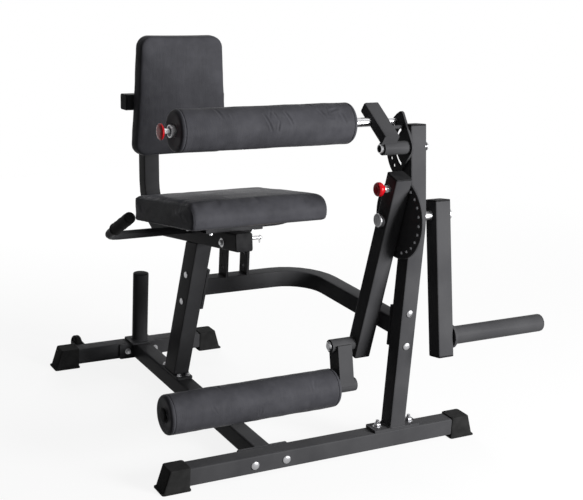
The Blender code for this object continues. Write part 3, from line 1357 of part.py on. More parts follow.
def lower_link():
    """The swinging link: a box between its pivot tube and the roller's socket."""
    half = LINK_DEPTH / 2
    down = down_along(LINK_LEAN)
    side = in_depth(-down.z, down.y)
    outline = [LINK_AXIS - side * half, LINK_AXIS + side * half,
               LOWER_ROLLER_AXIS + side * half, LOWER_ROLLER_AXIS - side * half]
    link = prism("lower_link", outline, LINK_LEFT, LINK_LEFT + LINK_WIDTH)
    tube = cross_bar("tube", LINK_PIVOT_TUBE_LEFT, LEVER_LEFT - RUNNING, LINK_AXIS,
                     LINK_PIVOT_TUBE_RADIUS)
    socket = cross_bar("socket", LOWER_ROLLER_RIGHT + RUNNING, LINK_SOCKET_RIGHT,
                       LOWER_ROLLER_AXIS, LINK_SOCKET_RADIUS)
    weld(link, tube, socket)
    drill(link, LINK_PIVOT_TUBE_LEFT - TUBE, LEVER_LEFT + TUBE, LINK_AXIS,
          LINK_PIN_RADIUS + RUNNING, ROUND)
    drill(link, LOWER_ROLLER_RIGHT - TUBE, LINK_SOCKET_RIGHT + TUBE, LOWER_ROLLER_AXIS,
          SHAFT_RADIUS + GAP, SOCKET_ROUND)
    finish(link, "lower_link", POWDER_COAT)


def lower_roller():
    """The roller pressed by the shins or heels, on its tube shaft."""
    left = LOWER_ROLLER_LEFT - RUNNING
    shaft = cross_bar("lower_roller_shaft", left, LINK_SOCKET_RIGHT - GAP, LOWER_ROLLER_AXIS,
                      SHAFT_RADIUS, SHAFT_RADIUS - SHAFT_WALL)
    finish(shaft, "lower_link", ZINC)
    inside = SHAFT_RADIUS - SHAFT_WALL - GAP
    cap = turned("lower_roller_cap", LOWER_ROLLER_AXIS, [
        (left + PLUG_DEPTH, inside), (left - GAP, inside), (left - GAP, ROLLER_CAP_RADIUS),
        (left - GAP - ROLLER_CAP / 2, ROLLER_CAP_RADIUS),
        (left - GAP - ROLLER_CAP, ROLLER_CAP_RADIUS * HEAD_DOME_SHARE)])
    finish(cap, "lower_link", RUBBER)
    roller_foam("lower_roller_pad", "lower_roller", LOWER_ROLLER_LEFT, LOWER_ROLLER_RIGHT,
                LOWER_ROLLER_AXIS, LOWER_ROLLER_RADIUS)


# Thigh arm, its roller and the release rod

def thigh_arm():
    """The arm on its pivot tube, hollow, with the guide pin that runs in the slot."""
    along = in_depth(math.cos(THIGH_ARM_SLOPE), math.sin(THIGH_ARM_SLOPE))
    above = in_depth(-math.sin(THIGH_ARM_SLOPE), math.cos(THIGH_ARM_SLOPE))
    middle_x = THIGH_ARM_LEFT + THIGH_ARM_WIDTH / 2
    foot = at(middle_x, THIGH_AXIS + above * THIGH_ARM_OFFSET - along * THIGH_ARM_FRONT)
    head = at(middle_x, THIGH_AXIS + above * THIGH_ARM_OFFSET + along * THIGH_ARM_REAR)
    arm = straight("thigh_arm", foot, head,
                   rounded_rectangle(THIGH_ARM_WIDTH, THIGH_ARM_THICKNESS, CORNER))
    inside = rounded_rectangle(THIGH_ARM_WIDTH - 2 * THIGH_ARM_WALL,
                               THIGH_ARM_THICKNESS - 2 * THIGH_ARM_WALL, CORNER - THIGH_ARM_WALL)
    cut(arm, straight("hollow", foot + along * THIGH_ARM_WALL, head - along * THIGH_ARM_WALL,
                      inside))
    right = THIGH_ARM_LEFT + THIGH_ARM_WIDTH
    tube_right = UPRIGHT_LEFT - GAP - SECTOR_PLATE - RUNNING
    tube = cross_bar("tube", THIGH_TUBE_LEFT, tube_right, THIGH_AXIS, THIGH_TUBE_RADIUS)
    guide = cross_bar("guide", right - THIGH_ARM_WALL, UPRIGHT_LEFT - 2 * GAP,
                      on_plate(GUIDE_CIRCLE, GUIDE_REST), GUIDE_PIN_RADIUS, count=SMALL_ROUND)
    weld(arm, tube, guide)
    drill(arm, THIGH_TUBE_LEFT - TUBE, tube_right + TUBE, THIGH_AXIS,
          THIGH_PIN_RADIUS + RUNNING, ROUND)
    drill(arm, THIGH_ARM_LEFT - TUBE, right + TUBE / 2, THIGH_ROLLER_AXIS,
          ROD_RADIUS + PIN_PLAY)
    finish(arm, "thigh_arm", POWDER_COAT)


def thigh_roller():
    """The roller over the thighs, on the hollow shaft that the release rod runs in."""
    left = THIGH_ROLLER_LEFT - ROLLER_CAP
    shaft = cross_bar("thigh_roller_shaft", left, THIGH_ARM_LEFT - GAP, THIGH_ROLLER_AXIS,
                      SHAFT_RADIUS, ROD_RADIUS + PIN_PLAY)
    finish(shaft, "thigh_arm", CHROME)
    nut_right = THIGH_ROLLER_LEFT - RUNNING
    nut_left = nut_right - THIGH_NUT
    nut = turned("thigh_shaft_nut", THIGH_ROLLER_AXIS, [
        (nut_right, SHAFT_RADIUS + GAP), (nut_right, THIGH_NUT_RADIUS),
        (nut_left, THIGH_NUT_RADIUS), (nut_left, SHAFT_RADIUS + GAP)], hollow=True)
    finish(nut, "thigh_arm", ZINC)
    roller_foam("thigh_roller_pad", "thigh_roller", THIGH_ROLLER_LEFT, THIGH_ROLLER_RIGHT,
                THIGH_ROLLER_AXIS, THIGH_ROLLER_RADIUS)


def thigh_rod():
    """The rod through the roller's shaft, stepped down at the tip that locks the plate."""
    tip = UPRIGHT_LEFT - 2 * GAP
    shoulder = UPRIGHT_LEFT - GAP - SECTOR_PLATE - 2 * RUNNING
    rod = turned("thigh_rod", THIGH_ROLLER_AXIS, [
        (ROD_LEFT + GAP, ROD_RADIUS), (shoulder, ROD_RADIUS), (shoulder, ROD_TIP_RADIUS),
        (tip, ROD_TIP_RADIUS)])
    finish(rod, "thigh_rod", CHROME)
    pull_knob("thigh_rod_knob", "thigh_rod", at(ROD_LEFT, THIGH_ROLLER_AXIS), (-1.0, 0.0, 0.0),
              ROD_KNOB_RADIUS, ROD_KNOB)


# The whole machine

def clear_scene():
    """Remove whatever the file holds."""
    for thing in list(bpy.data.objects):
        bpy.data.objects.remove(thing)


def make_pivots():
    """One empty on each joint's axis, hung on the empty of the body that carries it."""
    for body, (place, carrier) in PIVOTS.items():
        empty = bpy.data.objects.new(body + "_pivot", None)
        bpy.context.scene.collection.objects.link(empty)
        empty.empty_display_size = TUBE
        empty.location = place
        if carrier:
            empty.parent = bpy.data.objects[carrier + "_pivot"]
            empty.location = place - PIVOTS[carrier][0]


def make_base():
    """Stabilizers, boots, wheels, spine and storage peg."""
    front_stabilizer()
    rear_stabilizer()
    centre_tube()
    boot("boot_front_left", -FRONT_LEFT, -1, 0.0)
    boot("boot_front_right", FRONT_RIGHT, 1, 0.0)
    boot("boot_rear_left", -REAR_HALF, -1, REAR_Y)
    boot("boot_rear_right", REAR_HALF, 1, REAR_Y)
    transport_wheel("wheel_left", -WHEEL_X)
    transport_wheel("wheel_right", WHEEL_X)
    storage_peg()


def make_seat():
    """Seat upright, seat tube, pads, handles and the backrest."""
    seat_upright()
    seat_tube()
    handle_bar()
    lock_lug()
    seat_pad()
    back_carriage()
    back_pad()
    back_pull_pin()


def make_uprights():
    """Main upright, sector plate, curved tube and the pins that stay with them."""
    main_upright()
    sector_plate()
    thigh_pivot_pin()
    curved_tube()
    hitch_pin()


def make_swing():
    """Everything that turns on the main axis."""
    axle()
    selector_disc()
    weight_arm()
    weight_peg()
    lever_arm()
    lever_pull_pin()
    link_pivot_pin()
    lower_link()
    lower_roller()


def make_thigh_arm():
    """Everything that turns on the thigh axis."""
    thigh_arm()
    thigh_roller()
    thigh_rod()


def centre_on_footprint():
    """Carry the middle of the machine's footprint to the origin."""
    bpy.context.view_layer.update()
    corners = [thing.matrix_world @ vertex.co for thing in bpy.data.objects
               if thing.type == "MESH" for vertex in thing.data.vertices]
    for axis in (0, 1):
        numbers = [corner[axis] for corner in corners]
        bpy.data.objects["frame_pivot"].location[axis] -= (min(numbers) + max(numbers)) / 2


def main():
    """Build the machine."""
    clear_scene()
    make_pivots()
    make_base()
    make_uprights()
    make_seat()
    make_swing()
    make_thigh_arm()
    centre_on_footprint()


main()
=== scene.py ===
"""Looks of the leg extension and hamstring machine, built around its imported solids."""
import json
import math
import random

import bmesh
import bpy
from mathutils import Matrix, Vector, noise
from mathutils.bvhtree import BVHTree

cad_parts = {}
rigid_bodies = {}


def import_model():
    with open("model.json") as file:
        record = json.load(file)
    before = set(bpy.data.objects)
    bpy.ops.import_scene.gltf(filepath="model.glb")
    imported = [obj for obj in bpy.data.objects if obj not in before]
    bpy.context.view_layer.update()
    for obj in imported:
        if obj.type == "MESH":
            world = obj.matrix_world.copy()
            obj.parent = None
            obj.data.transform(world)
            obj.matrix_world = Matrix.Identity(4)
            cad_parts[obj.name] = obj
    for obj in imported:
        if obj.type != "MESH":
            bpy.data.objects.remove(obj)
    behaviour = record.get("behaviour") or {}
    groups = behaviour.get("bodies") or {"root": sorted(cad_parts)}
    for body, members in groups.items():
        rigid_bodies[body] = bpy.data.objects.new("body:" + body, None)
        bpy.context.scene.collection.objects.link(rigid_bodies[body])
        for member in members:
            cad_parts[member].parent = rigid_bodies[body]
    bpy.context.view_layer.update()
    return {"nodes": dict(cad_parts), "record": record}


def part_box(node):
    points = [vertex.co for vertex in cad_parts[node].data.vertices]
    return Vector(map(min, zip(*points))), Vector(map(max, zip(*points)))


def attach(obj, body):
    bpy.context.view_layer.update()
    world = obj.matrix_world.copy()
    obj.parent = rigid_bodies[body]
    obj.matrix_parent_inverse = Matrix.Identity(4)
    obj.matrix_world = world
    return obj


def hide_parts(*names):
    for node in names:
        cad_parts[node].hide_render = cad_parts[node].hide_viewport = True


for thing in list(bpy.data.objects):
    bpy.data.objects.remove(thing)

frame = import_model()

X = Vector((1.0, 0.0, 0.0))
Y = Vector((0.0, 1.0, 0.0))
Z = Vector((0.0, 0.0, 1.0))


# Places, in the modelling frame of the solids: centre tube on X 0, front stabilizer on Y 0

def middle(node):
    """The middle of a solid's box."""
    low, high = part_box(node)
    return (low + high) / 2


SHIFT = Vector((middle("centre_tube").x, middle("front_stabilizer").y, 0.0))
SEAT_TILT = math.radians(9.7)
BACK_LEAN = math.radians(3.5)
SEAT_ALONG = Vector((0.0, math.cos(SEAT_TILT), -math.sin(SEAT_TILT)))
SEAT_NORMAL = Vector((0.0, math.sin(SEAT_TILT), math.cos(SEAT_TILT)))
BACK_UP = Vector((0.0, math.sin(BACK_LEAN), math.cos(BACK_LEAN)))
BACK_FORWARD = Vector((0.0, -math.cos(BACK_LEAN), math.sin(BACK_LEAN)))
TUBE_HALF = 0.025

# Depth and height of the seat tube's middle and of the backrest's cross bar
SEAT_TUBE_MIDDLE = (0.185, 0.582)
BACK_BAR = (0.672, 0.884)


def place(x, y, z):
    """A point of the modelling frame."""
    return SHIFT + Vector((x, y, z))


def on_seat(across, run, lift):
    """A point in the seat's frame: run to the rear along its tube, lift off its middle."""
    return place(across, *SEAT_TUBE_MIDDLE) + SEAT_ALONG * run + SEAT_NORMAL * lift


def on_back(across, up, forward):
    """A point in the backrest's frame, from the middle of its cross bar."""
    return place(across, *BACK_BAR) + BACK_UP * up + BACK_FORWARD * forward


# Materials

def new_material(name, colour, roughness, metallic=0.0):
    """A Principled material; what is wired in later takes the plain values' place."""
    material = bpy.data.materials.new(name)
    material.use_nodes = True
    tree = material.node_tree
    shader = tree.nodes["Principled BSDF"]
    shader.inputs["Base Color"].default_value = (*colour, 1.0)
    shader.inputs["Roughness"].default_value = roughness
    shader.inputs["Metallic"].default_value = metallic
    return material, tree, shader


def add(tree, kind, **values):
    """A node with some of its inputs set."""
    node = tree.nodes.new(kind)
    for key, value in values.items():
        node.inputs[key].default_value = value
    return node


def coordinates(tree, scale=(1.0, 1.0, 1.0)):
    """Object coordinates, stretched."""
    source = tree.nodes.new("ShaderNodeTexCoord")
    mapping = tree.nodes.new("ShaderNodeMapping")
    mapping.inputs["Scale"].default_value = scale
    tree.links.new(source.outputs["Object"], mapping.inputs["Vector"])
    return mapping.outputs["Vector"]


def noise_of(tree, vector, scale, detail=3.0, rough=0.5):
    """A noise texture's value."""
    node = add(tree, "ShaderNodeTexNoise", Scale=scale, Detail=detail, Roughness=rough)
    tree.links.new(vector, node.inputs["Vector"])
    return node.outputs["Fac"]


def cells_of(tree, vector, scale):
    """A cell texture's distance."""
    node = add(tree, "ShaderNodeTexVoronoi", Scale=scale)
    tree.links.new(vector, node.inputs["Vector"])
    return node.outputs["Distance"]


def spread(tree, value, low, high, start=0.3, end=0.7):
    """Map a texture's value to a range."""
    node = tree.nodes.new("ShaderNodeMapRange")
    node.inputs["From Min"].default_value = start
    node.inputs["From Max"].default_value = end
    node.inputs["To Min"].default_value = low
    node.inputs["To Max"].default_value = high
    tree.links.new(value, node.inputs["Value"])
    return node.outputs["Result"]


def tint(tree, value, first, second, start=0.35, end=0.65):
    """A colour ramp between two colours."""
    ramp = tree.nodes.new("ShaderNodeValToRGB")
    ramp.color_ramp.elements[0].position = start
    ramp.color_ramp.elements[0].color = (*first, 1.0)
    ramp.color_ramp.elements[1].position = end
    ramp.color_ramp.elements[1].color = (*second, 1.0)
    tree.links.new(value, ramp.inputs["Fac"])
    return ramp.outputs["Color"]


def sum_of(tree, first, second, share):
    """first + second * share."""
    node = tree.nodes.new("ShaderNodeMath")
    node.operation = "MULTIPLY_ADD"
    tree.links.new(second, node.inputs[0])
    node.inputs[1].default_value = share
    tree.links.new(first, node.inputs[2])
    return node.outputs[0]


def bump(tree, shader, height, distance, strength):
    """Wire a height into the shader's normal."""
    node = add(tree, "ShaderNodeBump", Strength=strength, Distance=distance)
    tree.links.new(height, node.inputs["Height"])
    tree.links.new(node.outputs["Normal"], shader.inputs["Normal"])


def powder_coat():
    """Satin black powder coat with its orange peel."""
    material, tree, shader = new_material("powder_coat", (0.057, 0.057, 0.060), 0.34)
    vector = coordinates(tree)
    cloud = noise_of(tree, vector, 9.0, 4.0)
    peel = noise_of(tree, vector, 420.0, 2.0, 0.6)
    grain = noise_of(tree, vector, 1600.0, 2.0, 0.6)
    colour = tint(tree, cloud, (0.050, 0.050, 0.053), (0.064, 0.064, 0.067))
    tree.links.new(colour, shader.inputs["Base Color"])
    tree.links.new(spread(tree, sum_of(tree, cloud, grain, 0.4), 0.28, 0.40, 0.45, 0.95),
                   shader.inputs["Roughness"])
    shader.inputs["Specular IOR Level"].default_value = 0.01
    bump(tree, shader, sum_of(tree, peel, grain, 0.35), 0.00022, 0.35)
    return material


def vinyl():
    """Black upholstery vinyl: a pebbled grain, soft creases and an uneven sheen."""
    material, tree, shader = new_material("vinyl", (0.056, 0.056, 0.063), 0.35)
    vector = coordinates(tree)
    cloud = noise_of(tree, vector, 14.0, 4.0)
    warp = noise_of(tree, vector, 60.0, 2.0)
    pebble = cells_of(tree, vector, 620.0)
    fine = noise_of(tree, vector, 1500.0, 2.0)
    crease = noise_of(tree, coordinates(tree, (75.0, 13.0, 13.0)), 1.0, 5.0, 0.62)
    colour = tint(tree, sum_of(tree, cloud, warp, 0.3), (0.047, 0.047, 0.053),
                  (0.066, 0.066, 0.074), 0.45, 0.85)
    tree.links.new(colour, shader.inputs["Base Color"])
    tree.links.new(spread(tree, sum_of(tree, cloud, pebble, 0.35), 0.28, 0.42, 0.4, 0.9),
                   shader.inputs["Roughness"])
    shader.inputs["Specular IOR Level"].default_value = 0.012
    height = sum_of(tree, sum_of(tree, pebble, fine, 0.25), crease, 3.6)
    bump(tree, shader, height, 0.00045, 0.5)
    return material


def rubber():
    """Matte moulded rubber."""
    material, tree, shader = new_material("rubber", (0.023, 0.023, 0.023), 0.61)
    vector = coordinates(tree)
    cloud = noise_of(tree, vector, 30.0, 5.0)
    grain = noise_of(tree, vector, 1100.0, 3.0, 0.7)
    tree.links.new(tint(tree, cloud, (0.018, 0.018, 0.018), (0.028, 0.028, 0.028)),
                   shader.inputs["Base Color"])
    tree.links.new(spread(tree, cloud, 0.52, 0.70), shader.inputs["Roughness"])
    shader.inputs["Specular IOR Level"].default_value = 0.01
    bump(tree, shader, grain, 0.0003, 0.5)
    return material


def black_plastic():
    """Moulded plastic with a spark-eroded grain."""
    material, tree, shader = new_material("black_plastic", (0.020, 0.020, 0.021), 0.48)
    vector = coordinates(tree)
    grain = noise_of(tree, vector, 1400.0, 2.0, 0.7)
    cloud = noise_of(tree, vector, 40.0, 3.0)
    tree.links.new(tint(tree, cloud, (0.015, 0.015, 0.016), (0.025, 0.025, 0.026)),
                   shader.inputs["Base Color"])
    tree.links.new(spread(tree, grain, 0.42, 0.55), shader.inputs["Roughness"])
    shader.inputs["Specular IOR Level"].default_value = 0.01
    bump(tree, shader, grain, 0.00018, 0.5)
    return material


def plated(name, colour, low, high, stretch):
    """Plated steel with fine turning marks round the rollers' axis."""
    material, tree, shader = new_material(name, colour, (low + high) / 2, 1.0)
    marks = noise_of(tree, coordinates(tree, stretch), 1.0, 4.0, 0.6)
    cloud = noise_of(tree, coordinates(tree), 45.0, 4.0)
    tree.links.new(spread(tree, sum_of(tree, cloud, marks, 0.6), low, high, 0.45, 1.1),
                   shader.inputs["Roughness"])
    darker = tuple(channel * 0.86 for channel in colour)
    tree.links.new(tint(tree, cloud, darker, colour), shader.inputs["Base Color"])
    bump(tree, shader, marks, 0.00004, 0.15)
    return material


def red_plastic():
    """Glossy red moulded plastic."""
    material, tree, shader = new_material("red_plastic", (0.46, 0.004, 0.010), 0.24)
    vector = coordinates(tree)
    cloud = noise_of(tree, vector, 60.0, 3.0)
    tree.links.new(tint(tree, cloud, (0.42, 0.003, 0.008), (0.50, 0.005, 0.012)),
                   shader.inputs["Base Color"])
    tree.links.new(spread(tree, cloud, 0.18, 0.30), shader.inputs["Roughness"])
    shader.inputs["Specular IOR Level"].default_value = 0.12
    bump(tree, shader, noise_of(tree, vector, 260.0, 2.0), 0.0001, 0.3)
    return material


def plywood():
    """A plywood board stained dark, with its grain and pores."""
    material, tree, shader = new_material("plywood", (0.12, 0.08, 0.05), 0.75)
    grain = noise_of(tree, coordinates(tree, (6.0, 90.0, 90.0)), 1.0, 6.0, 0.65)
    pores = noise_of(tree, coordinates(tree, (60.0, 900.0, 900.0)), 1.0, 2.0)
    tree.links.new(tint(tree, grain, (0.060, 0.038, 0.022), (0.155, 0.105, 0.062)),
                   shader.inputs["Base Color"])
    tree.links.new(spread(tree, grain, 0.65, 0.85), shader.inputs["Roughness"])
    bump(tree, shader, sum_of(tree, grain, pores, 0.5), 0.0004, 0.5)
    return material


MATERIALS = {
    "powder_coat": powder_coat(),
    "vinyl": vinyl(),
    "rubber": rubber(),
    "black_plastic": black_plastic(),
    "chrome": plated("chrome", (0.50, 0.50, 0.51), 0.17, 0.30, (900.0, 40.0, 40.0)),
    "zinc": plated("zinc", (0.38, 0.38, 0.39), 0.28, 0.46, (700.0, 60.0, 60.0)),
    "red_plastic": red_plastic(),
    "plywood": plywood(),
}


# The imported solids: materials, round shading and softened edges

SLOT_OF = {row["node"]: row["material_slot"] for row in frame["record"]["subparts"]}
EDGE_BREAK = {"powder_coat": 0.0007, "rubber": 0.0008, "black_plastic": 0.0006, "zinc": 0.0003,
              "chrome": 0.0003, "red_plastic": 0.0004, "plywood": 0.0004}
MERGE_DISTANCE = 0.00002
BROKEN_EDGE_ANGLE = math.radians(35)

for node, solid in frame["nodes"].items():
    slot = SLOT_OF[node]
    solid.data.materials.clear()
    solid.data.materials.append(MATERIALS[slot])
    solid.data.polygons.foreach_set("use_smooth", [True] * len(solid.data.polygons))
    if slot in EDGE_BREAK:
        joined = solid.modifiers.new("joined", "WELD")
        joined.merge_threshold = MERGE_DISTANCE
        softened = solid.modifiers.new("softened", "BEVEL")
        softened.width = EDGE_BREAK[slot]
        softened.segments = 2
        softened.limit_method = "ANGLE"
        softened.angle_limit = BROKEN_EDGE_ANGLE
        softened.harden_normals = True
        weighted = solid.modifiers.new("weighted", "WEIGHTED_NORMAL")
        weighted.keep_sharp = True


# Meshes

SHARP_ANGLE = math.radians(38)


def object_from(name, builder):
    """An object in the scene from a bmesh, which is used up."""
    mesh = bpy.data.meshes.new(name)
    builder.to_mesh(mesh)
    builder.free()
    thing = bpy.data.objects.new(name, mesh)
    bpy.context.scene.collection.objects.link(thing)
    return thing


def new_piece(name, builder, body, slot):
    """A piece from a bmesh, on its body and with its slot's material."""
    bmesh.ops.recalc_face_normals(builder, faces=builder.faces)
    for face in builder.faces:
        face.smooth = True
    piece = object_from(name, builder)
    piece.data.materials.append(MATERIALS[slot])
    piece.data.set_sharp_from_angle(angle=SHARP_ANGLE)
    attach(piece, body)


def bridge(builder, first, second):
    """Quads between two closed rings."""
    count = len(first)
    for i in range(count):
        j = (i + 1) % count
        builder.faces.new((first[i], first[j], second[j], second[i]))


def side_axes(axis):
    """Two directions square to an axis."""
    first = (Z if abs(axis.z) < 0.8 else Y).cross(axis).normalized()
    return first, axis.cross(first)


def turn(builder, origin, axis, profile, count, capped=True, ripple=None):
    """Turn a profile of distance and radius pairs into a builder."""
    first, second = side_axes(axis)
    rings = []
    for along, radius in profile:
        ring = []
        for i in range(count):
            angle = math.tau * i / count
            reach = radius * (ripple(angle) if ripple else 1.0)
            ring.append(builder.verts.new(origin + axis * along + first * reach * math.cos(angle)
                                          + second * reach * math.sin(angle)))
        rings.append(ring)
    for lower, upper in zip(rings, rings[1:]):
        bridge(builder, lower, upper)
    if capped:
        builder.faces.new(rings[0])
        builder.faces.new(rings[-1])
    else:
        bridge(builder, rings[-1], rings[0])


def hexagon(angle):
    """How far a hexagon's side is from its middle, with its corners at 1."""
    return math.cos(math.pi / 6) / math.cos((angle % (math.pi / 3)) - math.pi / 6)


def washer_into(builder, origin, axis, radius, thickness):
    """A flat washer with broken edges."""
    soft = thickness * 0.3
    turn(builder, origin, axis, [(0.0, radius - soft), (soft, radius), (thickness - soft, radius),
                                 (thickness, radius - soft)], 32)


WASHER = 0.0014
BOLT_ACROSS = 0.013
BOLT_WASHER = 0.0095


def hex_bolt(name, origin, axis, body, across=BOLT_ACROSS, washer=BOLT_WASHER):
    """A plated bolt head on its washer: a hexagon with a turned top."""
    builder = bmesh.new()
    washer_into(builder, origin, axis, washer, WASHER)
    corner = across / 2 / math.cos(math.pi / 6)
    turn(builder, origin, axis, [(WASHER, corner * 0.97), (WASHER + 0.0008, corner),
                                 (WASHER + 0.0046, corner)], 24, ripple=hexagon)
    dome = across / 2 * 0.98
    turn(builder, origin, axis, [(WASHER + 0.0045, dome), (WASHER + 0.0052, dome * 0.97),
                                 (WASHER + 0.0056, dome * 0.86)], 24)
    new_piece(name, builder, body, "zinc")


def dome_bolt(name, origin, axis, body, radius, slot="zinc"):
    """A round-headed bolt, its head low and domed."""
    builder = bmesh.new()
    steps = 7
    rim = 0.0012
    rise = 0.0042
    profile = [(0.0, radius)]
    for step in range(steps):
        angle = math.pi / 2 * step / steps
        profile.append((rim + rise * math.sin(angle), radius * math.cos(angle)))
    turn(builder, origin, axis, profile, 28)
    new_piece(name, builder, body, slot)


def lock_nut(name, origin, axis, body, across=BOLT_ACROSS, threads=4):
    """A nut with its nylon collar, the bolt's end showing in it."""
    builder = bmesh.new()
    corner = across / 2 / math.cos(math.pi / 6)
    size = across / BOLT_ACROSS
    washer_into(builder, origin, axis, BOLT_WASHER * size, WASHER)
    top = 0.0072 * size
    turn(builder, origin, axis, [(WASHER, corner * 0.96), (0.0021, corner), (top - 0.0006, corner),
                                 (top, corner * 0.95)], 24, ripple=hexagon)
    collar = across / 2 * 0.93
    end = top + 0.0018 * size
    turn(builder, origin, axis, [(top, collar), (end, collar),
                                 (end + 0.0006, collar * 0.92)], 24)
    thread = 0.0037 * size
    pitch = 0.001
    profile = [(end, thread * 0.9)]
    for step in range(threads):
        profile += [(end + 0.0004 + pitch * step, thread),
                    (end + 0.0009 + pitch * step, thread * 0.86)]
    turn(builder, origin, axis, profile, 16)
    new_piece(name, builder, body, "zinc")


def weld_bead(name, points, body, radius=0.0024):
    """A weld's bead along a closed path, in overlapping ripples."""
    builder = bmesh.new()
    ring_pitch = 0.0016
    ripple_pitch = 0.0048
    sides = 8
    lengths = [0.0]
    loop = points + [points[0]]
    for first, second in zip(loop, loop[1:]):
        lengths.append(lengths[-1] + (second - first).length)
    total = lengths[-1]
    count = max(8, int(total / ring_pitch))
    rings = []
    previous = None
    for step in range(count):
        at = total * step / count
        index = max(i for i, length in enumerate(lengths[:-1]) if length <= at + 1e-9)
        span = lengths[index + 1] - lengths[index]
        centre = loop[index].lerp(loop[index + 1], (at - lengths[index]) / span)
        ahead = (loop[index + 1] - loop[index]).normalized()
        if previous is not None:
            ahead = (ahead + previous).normalized()
        previous = ahead
        first, second = side_axes(ahead)
        phase = (at / ripple_pitch) % 1.0
        reach = radius * (0.86 + 0.22 * math.sqrt(1.0 - phase)
                          + 0.10 * noise.noise(centre * 180.0))
        rings.append([builder.verts.new(centre + first * reach * math.cos(math.tau * k / sides)
                                        + second * reach * math.sin(math.tau * k / sides))
                      for k in range(sides)])
    for lower, upper in zip(rings, rings[1:]):
        bridge(builder, lower, upper)
    bridge(builder, rings[-1], rings[0])
    new_piece(name, builder, body, "powder_coat")


def rectangle_path(centre, first, second, half_first, half_second):
    """A closed path round a rectangle with round corners."""
    corner = 0.006
    steps = 3
    points = []
    for side, end, start in ((1, 1, 0), (-1, 1, 90), (-1, -1, 180), (1, -1, 270)):
        for step in range(steps + 1):
            angle = math.radians(start + 90 * step / steps)
            points.append(centre + first * (side * (half_first - corner) + corner * math.cos(angle))
                          + second * (end * (half_second - corner) + corner * math.sin(angle)))
    return points


def circle_path(centre, axis, radius):
    """A closed path round a circle."""
    count = 36
    first, second = side_axes(axis)
    return [centre + first * radius * math.cos(math.tau * i / count)
            + second * radius * math.sin(math.tau * i / count) for i in range(count)]


# Upholstery

def soft_noise(point, size, seed):
    """A smooth value from -1 to 1 over a length."""
    return noise.noise(point / size + Vector((seed * 7.1, seed * 3.7, seed * 5.3)))


VOXEL = 0.005
PRESSURE = 4.0
SWELL_FRAMES = 20


def puff(piece, rest_on, cap):
    """Swell a closed pad as cloth under pressure, held where it lies on its board."""
    remesh = piece.modifiers.new("voxels", "REMESH")
    remesh.mode = "VOXEL"
    remesh.voxel_size = VOXEL
    remesh.use_smooth_shade = True
    graph = bpy.context.evaluated_depsgraph_get()
    mesh = bpy.data.meshes.new_from_object(piece.evaluated_get(graph))
    piece.modifiers.clear()
    piece.data = mesh
    before = [vertex.co.copy() for vertex in mesh.vertices]
    scene = bpy.context.scene
    scene.frame_set(1)
    cloth = piece.modifiers.new("swell", "CLOTH")
    cloth.settings.use_pressure = True
    cloth.settings.uniform_pressure_force = PRESSURE
    cloth.settings.effector_weights.gravity = 0.0
    cloth.settings.quality = 4
    cloth.point_cache.frame_start = 1
    cloth.point_cache.frame_end = SWELL_FRAMES
    for step in range(1, SWELL_FRAMES + 1):
        scene.frame_set(step)
    graph = bpy.context.evaluated_depsgraph_get()
    swollen = bpy.data.meshes.new_from_object(piece.evaluated_get(graph))
    after = [vertex.co.copy() for vertex in swollen.vertices]
    piece.modifiers.clear()
    bpy.data.meshes.remove(swollen)
    scene.frame_set(1)
    for vertex, start, end in zip(mesh.vertices, before, after):
        move = end - start
        if move.length > cap:
            move *= cap / move.length
        vertex.co = start + move * rest_on(start)


def finish_pad(piece, body, node):
    """Shade a pad, hang it on its body and let it stand for its solid."""
    piece.data.materials.clear()
    piece.data.materials.append(MATERIALS["vinyl"])
    piece.data.polygons.foreach_set("use_smooth", [True] * len(piece.data.polygons))
    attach(piece, body)
    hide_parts(node)


def rounded_loop(low, high, radii, per_corner, per_side):
    """A rectangle's outline with its own radius at each corner, as many points whatever the size."""
    points = []
    signs = ((1, 1, 0), (-1, 1, 90), (-1, -1, 180), (1, -1, 270))
    for index, (side, end, start) in enumerate(signs):
        radius = radii[index]
        centre = ((high[0] if side > 0 else low[0]) - side * radius,
                  (high[1] if end > 0 else low[1]) - end * radius)
        for step in range(per_corner + 1):
            angle = math.radians(start + 90 * step / per_corner)
            points.append((centre[0] + radius * math.cos(angle),
                           centre[1] + radius * math.sin(angle)))
        other = signs[(index + 1) % 4]
        following = radii[(index + 1) % 4]
        target = ((high[0] if other[0] > 0 else low[0]) - other[0] * following,
                  (high[1] if other[1] > 0 else low[1]) - other[1] * following)
        angle = math.radians(other[2])
        target = (target[0] + following * math.cos(angle), target[1] + following * math.sin(angle))
        count = per_side[index % 2]
        last = points[-1]
        for step in range(1, count):
            share = step / count
            points.append((last[0] + (target[0] - last[0]) * share,
                           last[1] + (target[1] - last[1]) * share))
    return points


SEAT_HALF = 0.1985
SEAT_RUN = (-0.1175, 0.280)
SEAT_LIFT = (0.053, 0.1195)
SEAT_RADII = (0.013, 0.039, 0.026, 0.006)
SIDE_EDGE = 0.009


def seat_loop(inset):
    """The seat pad's side outline, inset from its skin."""
    low = (SEAT_RUN[0] + inset, SEAT_LIFT[0] + min(inset, 0.004))
    high = (SEAT_RUN[1] - inset, SEAT_LIFT[1] - inset)
    radii = [max(0.0015, radius - inset) for radius in SEAT_RADII]
    return rounded_loop(low, high, radii, per_corner=8, per_side=(26, 6))


